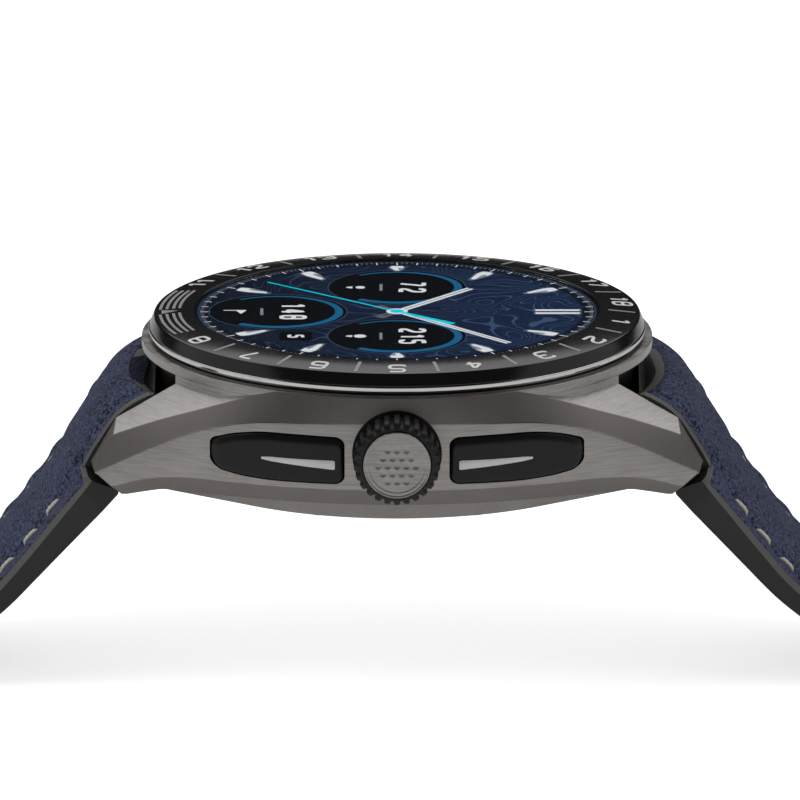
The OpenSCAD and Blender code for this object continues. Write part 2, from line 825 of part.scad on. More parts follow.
// Leather cover: the sewn edge, and the padding inside the stitches
module strap_leather(flat_z, s_end, y_end) {
    stitch_inset = 3.2;
    intersection() {
        union() {
            leather_layer(0, leather_t, lip_w, flat_z, s_end, y_end);
            leather_layer(leather_t - 0.01, leather_t + padding_t, lip_w + stitch_inset,
                          flat_z, s_end - stitch_inset, y_end - stitch_inset);
        }
        difference() {
            translate([-far / 2, 0, -far / 2]) cube(far);
            translate([0, 0, -far / 2]) cylinder(r = barrel_r + 1.1, h = far);
        }
    }
}

module leather_layer(low, high, inset, flat_z, s_end, y_end) {
    intersection() {
        along_x(-shoulder_w / 2, shoulder_w / 2)
            polygon(concat(cover_line(high, flat_z, s_end),
                           reversed(cover_line(low, flat_z, s_end))));
        translate([0, 0, -far / 2]) linear_extrude(far) strap_plan(inset, 0, y_end);
    }
}

// Two rows of thread, each stitch a short rod laid along the leather
module strap_stitches(flat_z, s_end) {
    thread_r = 0.22;
    stitch_l = 2;
    edge = lip_w + 1.2;
    for (s = [5:stitch_pitch:s_end - 3]) {
        p = above(s, rubber_at(s) + leather_t, flat_z);
        both_x() translate([half_width(p.x) - edge, p.x, p.y])
            rotate([-leg_turn(s, flat_z), 0, 0]) translate([0, stitch_l / 2, 0])
                rotate([90, 0, 0]) cylinder(r = thread_r, h = stitch_l, $fn = 16);
    }
}

// ---- Spring bars ----

pin_r = bar_tip_d / 2;
pin_bore = pin_r + run;
lever_x = -(end_half - 4);
release_travel = bar_from_lug + 0.2;

// Slot through the rubber and the tube that the release lever slides in
module release_slot() {
    translate([lever_x - 0.7, bar_y - 0.7, bar_z - 6])
        cube([1.4 + release_travel, 1.4, 6]);
}

// Hollow bar with one fixed tip, bored from its other end for the sliding pin
module spring_bar() {
    difference() {
        union() {
            rod_x(-end_half, end_half, bar_d / 2, bar_y, bar_z);
            rod_x(0, lug_gap / 2 + bar_from_lug, pin_r, bar_y, bar_z);
        }
        rod_x(-far, lever_x + 4, pin_bore, bar_y, bar_z);
        release_slot();
    }
}

// Sliding tip with the lever that pulls it out of the lug
module release_pin() {
    color([0.72, 0.72, 0.73])
    union() {
        rod_x(-(lug_gap / 2 + bar_from_lug), lever_x + 1.8, pin_r, bar_y, bar_z);
        translate([lever_x, bar_y, bar_z - 3.5]) cylinder(r = 0.45, h = 3.5);
    }
}

// ---- Strap halves ----

s_end_12 = flat_s(flat_z_12) + flat_12;
s_end_6 = flat_s(flat_z_6) + flat_6;
tip_6_y = flat_start(flat_z_6) + flat_6;
leather_end_12 = 4.5;

module strap_12_rubber() {
    hub_half = 1.4;
    color([0.11, 0.11, 0.115])
    difference() {
        union() {
            strap_rubber(flat_z_12, s_end_12, buckle_y);
            rod_x(-strap_w / 2, strap_w / 2, loop_r, buckle_y, buckle_z);
        }
        rod_x(-far / 2, far / 2, buckle_bar_d / 2 + run, buckle_y, buckle_z);
        // Room for the tongue's hub
        translate([-hub_half, buckle_y - 2.6, -far / 2]) cube([2 * hub_half, far, far]);
    }
}

module strap_12_leather() {
    color([0.2, 0.23, 0.36])
    strap_leather(flat_z_12, s_end_12 - leather_end_12, buckle_y - leather_end_12);
}

module strap_12_stitches() {
    color([0.7, 0.7, 0.68])
    strap_stitches(flat_z_12, s_end_12 - leather_end_12);
}

// Rounded tip of the long half, in plan, inset by an amount
module tail_cut(inset) {
    translate([0, 0, -far / 2]) linear_extrude(far) {
        translate([-far / 2, 0]) square([far, tip_6_y - tip_len]);
        intersection() {
            translate([0, tip_6_y - tip_len - 4]) circle(tip_len + 4 - inset);
            translate([-far / 2, 0]) square([far, far]);
        }
    }
}

module tongue_holes() {
    for (i = [0:hole_count - 1])
        translate([0, tip_6_y - hole_from_tip - i * hole_pitch, -far / 2])
            cylinder(d = hole_d, h = far);
}

module strap_6_rubber() {
    color([0.11, 0.11, 0.115])
    mirror([0, 1, 0]) difference() {
        intersection() {
            strap_rubber(flat_z_6, s_end_6, tip_6_y);
            tail_cut(0);
        }
        tongue_holes();
    }
}

module strap_6_leather() {
    color([0.2, 0.23, 0.36])
    mirror([0, 1, 0]) difference() {
        intersection() {
            strap_leather(flat_z_6, s_end_6, tip_6_y);
            tail_cut(lip_w);
        }
        tongue_holes();
    }
}

module strap_6_stitches() {
    color([0.7, 0.7, 0.68])
    mirror([0, 1, 0]) strap_stitches(flat_z_6, s_end_6 - tip_len);
}

module strap_12_bar() { color([0.75, 0.75, 0.76]) spring_bar(); }
module strap_6_bar() { color([0.75, 0.75, 0.76]) mirror([0, 1, 0]) spring_bar(); }
module release_pin_12() { release_pin(); }
module release_pin_6() { mirror([0, 1, 0]) release_pin(); }

// ---- Keepers and buckle ----

// Flat loop round the strap, its lower band on the table
module keeper(y) {
    half = strap_w / 2 + 0.2;
    translate([0, y - keeper_l / 2, table_z]) difference() {
        translate([-half - keeper_t, 0, 0])
            cube([2 * (half + keeper_t), keeper_l, keeper_h + 2 * keeper_t]);
        translate([-half, -past, keeper_t]) cube([2 * half, keeper_l + 2 * past, keeper_h]);
    }
}

module keeper_fixed() {
    color([0.12, 0.12, 0.125]) translate([0, 0, run]) keeper(keeper_fixed_y);
}

module keeper_sliding() {
    color([0.12, 0.12, 0.125]) keeper(keeper_sliding_y);
}

module buckle_frame() {
    front_r = buckle_t / 2;
    front_z = table_z + front_r;
    corner_r = 4;
    corner_y = buckle_y + buckle_l + front_r - corner_r;
    color([0.6, 0.59, 0.58])
    difference() {
        along_x(-buckle_half, buckle_half) union() {
            translate([buckle_y, buckle_z]) circle(front_r + 0.2);
            translate([buckle_y + buckle_l, front_z]) circle(front_r);
            polygon([
                [buckle_y, buckle_z + front_r], [buckle_y, buckle_z - front_r],
                [buckle_y + buckle_l - 0.3, front_z - front_r * 0.96],
                [buckle_y + buckle_l + 0.3, front_z + front_r * 0.96]
            ]);
        }
        // Rounded front corners, seen from above
        both_x() translate([buckle_half - corner_r, corner_y, -far / 2])
            linear_extrude(far) difference() {
                square(corner_r + 1);
                circle(corner_r);
            }
        translate([-buckle_half + buckle_arm, buckle_y - 5, -far / 2])
            cube([2 * (buckle_half - buckle_arm), 5 + buckle_l - front_r, far]);
        rod_x(-far / 2, far / 2, buckle_bar_d / 2, buckle_y, buckle_z);
    }
}

module buckle_bar() {
    color([0.72, 0.72, 0.73])
    rod_x(-buckle_half + 0.3, buckle_half - 0.3, buckle_bar_d / 2, buckle_y, buckle_z);
}

// Tongue on the buckle's bar, its tip resting on the frame's front
module buckle_tongue() {
    hub_r = buckle_bar_d / 2 + run + 0.7;
    front_top = table_z + buckle_t;
    start = [buckle_y, buckle_z + hub_r - tongue_d / 2];
    end = [buckle_y + buckle_l + 0.6, front_top + run + tongue_d / 2];
    slope = atan2(end.y - start.y, end.x - start.x);
    color([0.6, 0.59, 0.58])
    difference() {
        union() {
            rod_x(-1.1, 1.1, hub_r, buckle_y, buckle_z);
            translate([0, start.x, start.y]) rotate([slope - 90, 0, 0])
                cylinder(d = tongue_d, h = norm(end - start));
            translate([0, end.x, end.y]) rotate([slope - 90, 0, 0])
                cylinder(d1 = tongue_d, d2 = tongue_d / 2, h = tongue_d / 3);
        }
        rod_x(-far / 2, far / 2, buckle_bar_d / 2 + run, buckle_y, buckle_z);
    }
}

mid_case();
bezel_ring();
trim_ring();
bezel_gasket();
cover_glass();
display_panel();
display_chassis();
gps_antenna();
main_board();
board_chips();
shield_can();
battery();
vibration_motor();
inner_frame();
sensor_board();
caseback();
caseback_gasket();
sensor_window();
charging_contacts();
caseback_screws();
crown_tube();
crown_encoder();
crown_spring();
pusher_switches();
pusher_12_spring();
pusher_6_spring();
crown_sleeve();
crown_knob();
crown_cap();
crown_stem();
crown_seal();
pusher_12_cap();
pusher_12_inlay();
pusher_12_stem();
pusher_6_cap();
pusher_6_inlay();
pusher_6_stem();
strap_12_rubber();
strap_12_leather();
strap_12_stitches();
strap_12_bar();
keeper_fixed();
release_pin_12();
keeper_sliding();
buckle_frame();
buckle_bar();
buckle_tongue();
strap_6_rubber();
strap_6_leather();
strap_6_stitches();
strap_6_bar();
release_pin_6();
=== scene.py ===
"""Golf GPS watch: the looks of each piece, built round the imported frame."""

import math

import bmesh
import bpy
import numpy as np
from bpy.props import FloatProperty, FloatVectorProperty, IntProperty, PointerProperty
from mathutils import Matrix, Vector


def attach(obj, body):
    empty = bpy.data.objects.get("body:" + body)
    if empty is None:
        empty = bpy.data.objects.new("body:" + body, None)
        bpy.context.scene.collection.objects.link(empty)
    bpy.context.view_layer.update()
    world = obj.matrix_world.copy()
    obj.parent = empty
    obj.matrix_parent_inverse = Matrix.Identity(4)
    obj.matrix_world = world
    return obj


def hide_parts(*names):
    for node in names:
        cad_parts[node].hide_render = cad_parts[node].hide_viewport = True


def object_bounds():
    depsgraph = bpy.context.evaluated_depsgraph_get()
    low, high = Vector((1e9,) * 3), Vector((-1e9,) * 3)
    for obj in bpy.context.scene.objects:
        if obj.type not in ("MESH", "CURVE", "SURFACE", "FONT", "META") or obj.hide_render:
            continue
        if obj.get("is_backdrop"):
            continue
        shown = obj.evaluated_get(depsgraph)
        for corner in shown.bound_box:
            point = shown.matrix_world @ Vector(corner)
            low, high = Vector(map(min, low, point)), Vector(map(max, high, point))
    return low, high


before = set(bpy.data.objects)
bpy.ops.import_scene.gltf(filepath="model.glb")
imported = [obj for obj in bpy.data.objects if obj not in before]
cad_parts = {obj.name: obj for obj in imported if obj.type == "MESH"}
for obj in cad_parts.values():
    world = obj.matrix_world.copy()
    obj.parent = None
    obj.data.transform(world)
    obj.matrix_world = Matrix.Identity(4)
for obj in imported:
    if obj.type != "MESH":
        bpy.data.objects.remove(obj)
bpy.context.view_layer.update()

bl_info = {
    "name": "Golf GPS watch",
    "version": (1, 0, 0),
    "blender": (4, 5, 0),
    "location": "3D View > Sidebar > Golf watch",
    "description": "Builds the golf watch's case, dial, strap and their finishes",
    "category": "Object",
}

MM = 0.001
TAU = 2 * math.pi


def tone(red, green, blue):
    """Linear colour of a display colour given in parts of 255."""
    c = np.array([red, green, blue]) / 255
    return tuple(np.where(c <= 0.04045, c / 12.92, ((c + 0.055) / 1.055) ** 2.4))


# ---- Sizes and colours that a user would change ----


def length(name, value, text):
    return FloatProperty(name=name, description=text, default=value)


def colour(name, rgb, text):
    return FloatVectorProperty(
        name=name, description=text, subtype="COLOR", size=3, min=0, max=1,
        default=tone(*rgb),
    )


class WatchCaseSizes(bpy.types.PropertyGroup):
    """Sizes of the case and its controls, in millimetres"""

    edge: length("Edge", 0.09, "Rounding of the case's edges")
    ring_r: length("Ring radius", 22.5, "Radius of the round ring at the case's top")
    numeral_h: length("Numeral height", 1.88, "Height of a number on the bezel")
    numeral_w: length("Numeral width", 1.6, "Width of a number on the bezel")
    notches: IntProperty(
        name="Crown notches", description="Notches round the crown", default=26
    )


class WatchStrapSizes(bpy.types.PropertyGroup):
    """Sizes of the strap's soft pieces, in millimetres"""

    lip: length("Lip", 0.62, "Width of the rubber lip that frames the leather")
    padding: length("Padding", 1.1, "Height that the strap's middle is padded up")
    stitch_in: length("Stitch inset", 1.75, "Distance of the stitches from the leather's edge")
    stitch_pitch: length("Stitch pitch", 3.37, "Distance from one stitch to the next")
    stitch_len: length("Stitch length", 2.0, "Length of one stitch")


class WatchColours(bpy.types.PropertyGroup):
    """Colours of the finishes"""

    titanium: colour("Titanium", (166, 162, 159), "Brushed titanium of the case")
    blasted: colour("Blasted titanium", (138, 132, 129), "Blasted bevels of the case")
    ceramic: colour("Ceramic", (14, 14, 15), "Black ceramic of the bezel")
    steel: colour("Steel", (214, 213, 212), "Polished steel")
    rubber: colour("Rubber", (34, 34, 34), "Black rubber")
    leather: colour("Leather", (67, 72, 94), "Navy leather of the strap")
    thread: colour("Thread", (205, 200, 188), "Thread of the stitches")
    screen: colour("Screen", (20, 40, 78), "Blue of the screen")
    arc: colour("Arcs", (24, 96, 140), "Arcs of the three small dials")
    second: colour("Second hand", (0, 214, 240), "Second hand on the screen")


def sizes():
    return bpy.context.scene.watch_case


def strap_sizes():
    return bpy.context.scene.watch_strap


def colours():
    return bpy.context.scene.watch_colours


# ---- Curves and surfaces as whole arrays ----


def curve(x, xs, ys):
    """Smooth curve through the points (xs, ys): on each span a cubic in the share of the span
    gone, whose slope at each point is that of the parabola through it and its neighbours."""
    xs, ys = np.asarray(xs, float), np.asarray(ys, float)
    slope = np.gradient(ys, xs)
    x = np.clip(x, xs[0], xs[-1])
    i = np.clip(np.searchsorted(xs, x) - 1, 0, len(xs) - 2)
    h = xs[i + 1] - xs[i]
    t = (x - xs[i]) / h
    return (
        (2 * t**3 - 3 * t**2 + 1) * ys[i]
        + (t**3 - 2 * t**2 + t) * h * slope[i]
        + (3 * t**2 - 2 * t**3) * ys[i + 1]
        + (t**3 - t**2) * h * slope[i + 1]
    )


def ramp(x, start, end):
    """0 before start, 1 after end, and 3 t^2 - 2 t^3 of the share t gone between them."""
    t = np.clip((np.asarray(x, float) - start) / (end - start), 0, 1)
    return t * t * (3 - 2 * t)


def soften(points, radius, steps=4, closed=True):
    """Each corner of the outline becomes a parabola that starts and ends at a distance of radius
    from it: (1-t)^2 start + 2t(1-t) corner + t^2 end. Works on one outline or a stack of them."""
    points = np.asarray(points, float)
    radius = np.broadcast_to(np.asarray(radius, float), points.shape[:-1])[..., None]

    def toward(other):
        d = other - points
        size = np.linalg.norm(d, axis=-1, keepdims=True)
        return points + d * np.minimum(radius, 0.45 * size) / np.maximum(size, 1e-9)

    start = toward(np.roll(points, 1, axis=-2))
    end = toward(np.roll(points, -1, axis=-2))
    if not closed:
        start[..., 0, :] = end[..., 0, :] = points[..., 0, :]
        start[..., -1, :] = end[..., -1, :] = points[..., -1, :]
    t = np.linspace(0, 1, steps)[:, None]
    out = (
        (1 - t) ** 2 * start[..., None, :]
        + 2 * t * (1 - t) * points[..., None, :]
        + t**2 * end[..., None, :]
    )
    return out.reshape(*points.shape[:-2], -1, points.shape[-1])


class Form:
    """One piece's points in millimetres and its faces, gathered surface by surface."""

    def __init__(self):
        self.points, self.faces, self.finish, self.count = [], [], [], 0

    def add(self, points, faces, finish=0):
        points = np.asarray(points, float).reshape(-1, 3)
        self.points.append(points)
        for size in {len(f) for f in faces}:
            chosen = np.array([f for f in faces if len(f) == size]) + self.count
            self.faces += chosen.tolist()
        order = [k for size in {len(f) for f in faces} for k, f in enumerate(faces) if len(f) == size]
        marks = np.broadcast_to(np.asarray(finish), (len(faces),))
        self.finish += [int(marks[k]) for k in order]
        self.count += len(points)
        return self

    def grid(self, p, round_rows=False, round_cols=False, caps=False, finish=0):
        """Quads between neighbouring points of p[row, column]. A round direction joins its last
        line to its first, and caps close the first and the last row with one face each.
        finish is one number or one for each strip between two columns."""
        rows, cols = p.shape[:2]
        i = np.arange(rows if round_rows else rows - 1)[:, None]
        j = np.arange(cols if round_cols else cols - 1)[None, :]
        i2, j2 = (i + 1) % rows, (j + 1) % cols
        cells = [i * cols + j, i * cols + j2, i2 * cols + j2, i2 * cols + j]
        quads = np.stack(np.broadcast_arrays(*cells), -1).reshape(-1, 4)
        marks = np.broadcast_to(np.asarray(finish), (j.size,))
        marks = np.tile(marks, i.size)
        faces = quads.tolist()
        marks = marks.tolist()
        if caps:
            last = (rows - 1) * cols
            faces += [list(range(cols)), list(range(last + cols - 1, last - 1, -1))]
            marks += [marks[0], marks[-1]]
        return self.add(p, faces, marks)

    def prism(self, outline, low, high, finish=0):
        """The flat outline (n, 2) raised from low to high, with both ends closed. low and high
        are numbers or one for each point."""
        n = len(outline)
        flat = [np.column_stack([outline, np.broadcast_to(z, n)]) for z in (low, high)]
        return self.grid(np.stack(flat), round_cols=True, caps=True, finish=finish)

    def ribbon(self, line, width, low, high, closed=False, finish=0):
        """A band of one width along the flat line (n, 2), raised from low to high: its edges lie
        half the width to each side, square to the line's own direction."""
        line = np.asarray(line, float)
        if closed:
            along = np.roll(line, -1, 0) - np.roll(line, 1, 0)
        else:
            along = np.gradient(line, axis=0)
        along /= np.maximum(np.linalg.norm(along, axis=1, keepdims=True), 1e-9)
        aside = np.column_stack([-along[:, 1], along[:, 0]]) * np.reshape(width, (-1, 1)) / 2
        left, right = line + aside, line - aside
        low, high = (np.broadcast_to(z, len(line)) for z in (low, high))
        ring = [(left, low), (right, low), (right, high), (left, high)]
        p = np.stack([np.column_stack(pair) for pair in ring], 1)
        return self.grid(p, round_rows=closed, round_cols=True, caps=not closed, finish=finish)

    def moved(self, change):
        """Every point gathered so far, put through change(points)."""
        self.points = [change(np.concatenate(self.points))]
        return self

    def piece(self, name, body, finishes, slot=None, stands_for=(), sharp=25, outward=True):
        """Makes the mesh object: doubles merged, faces turned outwards, edges over sharp degrees
        kept crisp, one finish in each material slot, riding on its body."""
        mesh = bpy.data.meshes.new(name)
        mesh.from_pydata((np.concatenate(self.points) * MM).tolist(), [], self.faces)
        mesh.polygons.foreach_set("material_index", np.array(self.finish, np.int32))
        return dress(mesh, name, body, finishes, stands_for, sharp, outward)


def dress(mesh, name, body, finishes, stands_for=(), sharp=25, outward=True):
    """Turns a mesh into a finished piece that rides on a body of the frame."""
    if outward:
        b = bmesh.new()
        b.from_mesh(mesh)
        bmesh.ops.remove_doubles(b, verts=b.verts, dist=2e-7)
        bmesh.ops.dissolve_degenerate(b, edges=b.edges, dist=1e-8)
        bmesh.ops.recalc_face_normals(b, faces=b.faces)
        b.to_mesh(mesh)
        b.free()
    mesh.name = name
    for finish in np.atleast_1d(np.array(finishes, object)):
        mesh.materials.append(FINISHES[finish])
    mesh.shade_smooth()
    mesh.set_sharp_from_angle(angle=math.radians(sharp))
    mesh.update()
    piece = bpy.data.objects.new(name, mesh)
    bpy.context.scene.collection.objects.link(piece)
    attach(piece, body)
    if stands_for:
        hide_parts(*stands_for)
    return piece


def turned(profile, radii=0.0, segments=192, steps=4):
    """A ring or disc turned on the Z axis: the outline's points (radius, height), softened at
    their corners, carried round at equal angles. Returns p[angle, outline point]."""
    outline = soften(profile, radii, steps) if np.any(radii) else np.asarray(profile, float)
    a = np.linspace(0, TAU, segments, endpoint=False)[:, None]
    r, z = outline[None, :, 0], outline[None, :, 1]
    return np.stack(np.broadcast_arrays(r * np.cos(a), r * np.sin(a), z), -1)


def on_x(p, centre):
    """Turns a shape made round the Z axis so that it lies on an axis along X through centre."""
    return np.stack([p[..., 2] + centre[0], p[..., 0] + centre[1], p[..., 1] + centre[2]], -1)


# ---- Finishes ----

FINISHES = {}


def add_node(material, kind, **inputs):
    node = material.node_tree.nodes.new(kind)
    for socket, value in inputs.items():
        node.inputs[socket.replace("_", " ")].default_value = value
    return node


def finish(name, rgb, rough, metal=0.0, grain=(1500, 1500, 1500), spread=0.15, relief=0.2,
           depth=0.01, gloss_spread=0.08, patches=0.06, detail=4, reach=0.25, **sockets):
    """A procedural finish: the colour and gloss vary with a noise stretched along the grain
    (cycles a metre on each axis) and with slow patches of wear, and the same noise is the relief."""
    material = bpy.data.materials.new(name)
    material.use_nodes = True
    tree = material.node_tree
    shader = tree.nodes["Principled BSDF"]
    shader.inputs["Metallic"].default_value = metal
    for socket, value in sockets.items():
        shader.inputs[socket.replace("_", " ")].default_value = value
    link = tree.links.new
    place = add_node(material, "ShaderNodeTexCoord")
    mapping = add_node(material, "ShaderNodeMapping", Scale=grain)
    noise = add_node(material, "ShaderNodeTexNoise", Scale=1.0, Detail=detail, Roughness=0.6)
    slow = add_node(material, "ShaderNodeTexNoise", Scale=260.0, Detail=3.0)
    link(place.outputs["Object"], mapping.inputs["Vector"])
    link(mapping.outputs["Vector"], noise.inputs["Vector"])
    link(place.outputs["Object"], slow.inputs["Vector"])
    both = add_node(material, "ShaderNodeMath")
    both.operation = "MULTIPLY_ADD"
    both.inputs[1].default_value = patches / max(spread, 1e-3)
    link(slow.outputs["Fac"], both.inputs[0])
    link(noise.outputs["Fac"], both.inputs[2])
    shade = add_node(material, "ShaderNodeValToRGB")
    middle = 0.5 + 0.5 * patches / max(spread, 1e-3)
    shade.color_ramp.elements[0].position = max(middle - reach, 0.0)
    shade.color_ramp.elements[1].position = min(middle + reach, 1.0)
    shade.color_ramp.elements[0].color = (*(np.array(rgb) * (1 - spread)), 1)
    shade.color_ramp.elements[1].color = (*np.minimum(np.array(rgb) * (1 + spread), 1), 1)
    link(both.outputs[0], shade.inputs["Fac"])
    link(shade.outputs["Color"], shader.inputs["Base Color"])
    gloss = add_node(material, "ShaderNodeMapRange", From_Min=0.3, From_Max=0.7)
    gloss.inputs["To Min"].default_value = max(rough - gloss_spread, 0.02)
    gloss.inputs["To Max"].default_value = min(rough + gloss_spread, 1.0)
    link(noise.outputs["Fac"], gloss.inputs["Value"])
    link(gloss.outputs["Result"], shader.inputs["Roughness"])
    if relief:
        bump = add_node(material, "ShaderNodeBump", Strength=relief, Distance=depth * MM)
        link(noise.outputs["Fac"], bump.inputs["Height"])
        link(bump.outputs["Normal"], shader.inputs["Normal"])
    FINISHES[name] = material
    return material


def glowing(name, rgb, strength=1.0, share=0.35):
    """A finish of the lit screen: its own colour given off, with a faint speckle of cells."""
    material = finish(name, np.array(rgb) * share, 0.35, grain=(9000, 9000, 9000), spread=0.06,
                      relief=0.0, patches=0.0, Specular_IOR_Level=0.0)
    shader = material.node_tree.nodes["Principled BSDF"]
    shader.inputs["Emission Color"].default_value = (*rgb, 1)
    shader.inputs["Emission Strength"].default_value = strength
    return material


def make_finishes():
    """All the finishes, by name."""
    c = colours()
    along = (600, 220, 8500)
    finish("brushed_titanium", c.titanium, 0.36, 1.0, along, 0.24, 0.3, 0.005, 0.08, 0.05, 3, 0.18)
    finish("blasted_titanium", c.blasted, 0.52, 0.9, (11000,) * 3, 0.2, 0.5, 0.006, 0.1, 0.05)
    finish("caseback_titanium", tone(164, 160, 157), 0.5, 0.9, (9000,) * 3, 0.2, 0.5, 0.006)
    # Painted shade: a dark titanium for the barrel's wall between the lugs, darkened for the shade
    # that lies there
    finish("titanium_painted_shade", tone(62, 58, 56), 0.55, 0.8, (9000,) * 3, 0.15, 0.4, 0.005)
    finish("black_ceramic", c.ceramic, 0.16, 0.0, (2500,) * 3, 0.1, 0.04, 0.001, 0.03,
           IOR=1.6)
    finish("polished_steel", c.steel, 0.09, 1.0, (300, 3000, 300), 0.05, 0.03, 0.001, 0.03)
    finish("seal_rubber", tone(12, 12, 12), 0.6, 0.0, (5000,) * 3, 0.2, 0.3, 0.005)
    finish("dark_metal", tone(80, 80, 84), 0.45, 0.9, (4000, 4000, 4000))
    finish("copper_foil", tone(190, 132, 88), 0.35, 1.0, (4000, 4000, 4000))
    finish("circuit_board", tone(18, 66, 40), 0.5, 0.0, (2500, 2500, 2500), 0.3)
    finish("chip_plastic", tone(30, 30, 32), 0.5, 0.0, (6000, 6000, 6000))
    finish("tinned_steel", tone(186, 187, 190), 0.35, 1.0, (800, 6000, 800))
    finish("battery_foil", tone(168, 170, 176), 0.4, 0.8, (900, 900, 900), 0.1, 0.3, 0.03)
    finish("sensor_glass", tone(16, 16, 19), 0.08, 0.0, (900, 900, 900), 0.2, 0.0)
    finish("gold_contacts", tone(214, 172, 96), 0.28, 1.0, (5000, 5000, 5000))
    finish("spring_steel", tone(160, 160, 162), 0.3, 1.0, (6000, 6000, 6000))
    finish("knob_rubber", tone(15, 15, 16), 0.5, 0.0, (7000,) * 3, 0.25, 0.35, 0.01)
    finish("pusher_black", tone(15, 15, 16), 0.33, 0.0, (8000,) * 3, 0.2, 0.25, 0.003,
           Coat_Weight=0.12, Coat_Roughness=0.25, Specular_IOR_Level=0.3)
    finish("bright_inlay", tone(206, 206, 204), 0.4, 0.35, (9500, 400, 9500), 0.06)
    finish("numeral_white", tone(226, 226, 224), 0.5, 0.0, (4000,) * 3, 0.05, 0.0)
    finish("numeral_grey", tone(150, 150, 150), 0.45, 0.2, (4000,) * 3, 0.06, 0.0)
    glowing("display", c.screen, 0.6)
    finish("strap_leather", c.leather, 0.9, 0.0, (3600,) * 3, 0.8, 1.0, 0.06, 0.05, 0.08, 2.0,
           0.16, Specular_IOR_Level=0.12)
    finish("thread", c.thread, 0.8, 0.0, (9000,) * 3, 0.3, 0.6, 0.03)
    finish("strap_rubber", c.rubber, 0.55, 0.0, (6000,) * 3, 0.22, 0.4, 0.012)
    finish("lip_rubber", tone(88, 88, 85), 0.6, 0.0, (7000,) * 3, 0.2, 0.4, 0.012)
    finish("crystal", (1, 1, 1), 0.03, 0.0, (200,) * 3, 0.01, 0.0, gloss_spread=0.01,
                     Transmission_Weight=1.0, IOR=1.1, Specular_IOR_Level=0.1)


def finish_frame_nodes():
    """Gives every node of the frame that still shows the finish of its material slot."""
    for name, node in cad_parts.items():
        slot = node.data.materials[0].name.split(".")[0]
        node.data.materials.clear()
        node.data.materials.append(FINISHES[NODE_FINISH.get(name, slot)])


NODE_FINISH = {
    "mid_case": "brushed_titanium", "caseback": "caseback_titanium",
    "caseback_screws": "caseback_titanium", "charging_contacts": "gold_contacts",
}


# ---- Case ----

RING_TOP, RING_LOW, BARREL_R, CAVITY_R = 11.42, 10.58, 20.9, 18.6
SIDE_R, SIDE_X, LUG_START, LUG_SLOPE = 36.0, -13.3, 14.2, 0.429
LUG_IN = 11.2
FACET_Y, FACET_Z = 24.66, 6.8
TIP_Y = 26.9
BACK_Z = 1.6


def side_at(y):
    """X of the case's side face: round near the crown, then straight along the lug."""
    y = np.abs(y)
    bowed = SIDE_X + np.sqrt(SIDE_R**2 - np.minimum(y, LUG_START) ** 2)
    return bowed - LUG_SLOPE * np.maximum(y - LUG_START, 0)


def shoulder_at(y):
    """X of the upper bevel's inner edge: the ring's own circle, then a line down the lug."""
    reach = 11.6
    out = sizes().ring_r + 0.02
    on_ring = np.sqrt(out**2 - np.minimum(y, reach) ** 2)
    ys = [9.6, reach, 17.0, 21.15, 24.4, 27.4]
    xs = [math.sqrt(out**2 - 9.6**2), math.sqrt(out**2 - reach**2), 16.75, 14.8, 13.55, 12.5]
    return np.where(y < reach, on_ring, curve(y, ys, xs))


def lug_roof(x, y):
    """Height of the lug's top: the lowest of the ring's top, the top facet and the end facet."""
    top = FACET_Z - 0.42 * (x - LUG_IN) - 0.587 * (y - FACET_Y)
    end = FACET_Z - 0.29 * (x - LUG_IN) - 1.76 * (y - FACET_Y)
    return np.minimum(np.minimum(top, end), RING_TOP - 0.02)


def case_section(rows):
    """Corners of the case's flank at distances rows from the crown's axis, as (row, corner, xyz):
    inner top, bevel's upper edge, side's upper edge, side's lower edge, bottom, inner bottom."""
    slant = np.interp(rows, [18, FACET_Y, TIP_Y], [0, 0.111, -0.12])

    def at(x_of):
        x = x_of(rows)
        y = rows + slant * (x - LUG_IN)
        return x_of(y), y

    def floor(y):
        under = BACK_Z - np.maximum(y - 20.6, 0) * 0.26
        return np.maximum(under, 2.6 + 0.79 * (y - 26.5))

    x0, y0 = at(lambda y: np.maximum(LUG_IN, np.sqrt(np.maximum(19.8**2 - y**2, 0))))
    x1, y1 = at(shoulder_at)
    x2, y2 = at(side_at)
    side_top = curve(y2, [0, 8, 12.9, 17, 21.15, 24.5, 26.5, 27.5],
                     [8.98, 8.9, 8.6, 7.52, 5.62, 3.75, 2.62, 2.1])
    side_top = np.minimum(side_top, lug_roof(x2, y2))
    side_low = curve(y2, [0, 15, 18.8, 22.1, 24.8, 26.5], [3.0, 3.0, 2.95, 2.45, 1.5, 0.8])
    side_low = np.minimum(np.maximum(side_low, floor(y2)), side_top - 0.01)
    bottom = np.minimum(floor(y2), side_low)
    x4 = x2 - (side_low - bottom) * 0.571
    inner_top = lug_roof(x0, y0)
    inner_low = np.minimum(floor(y0), inner_top - 0.01)
    corner = [(x0, y0, inner_top), (x1, y1, lug_roof(x1, y1)), (x2, y2, side_top),
              (x2, y2, side_low), (x4, y2, bottom), (x0, y0, inner_low)]
    return np.stack([np.stack(c, -1) for c in corner], 1)


def pusher_outline(y):
    """Lower and upper height of a pusher at a distance y from the crown's axis: a straight inner
    end, a nearly straight middle and an outer end that narrows, with rounded corners."""
    y_in, y_out = 4.7, 16.3
    top = curve(y, [4.7, 9, 12.5, 14.6, 16.3], [7.74, 7.84, 7.78, 7.4, 6.86])
    low = curve(y, [4.7, 8, 12, 14.6, 15.6, 16.3], [3.72, 3.7, 3.78, 4.08, 4.35, 4.95])

    def corner(gap, r):
        return r - np.sqrt(np.maximum(r**2 - np.maximum(r - gap, 0) ** 2, 0))

    inner, outer = corner(y - y_in, 0.75), corner(y_out - y, 0.4)
    return low + inner + outer, top - inner - outer


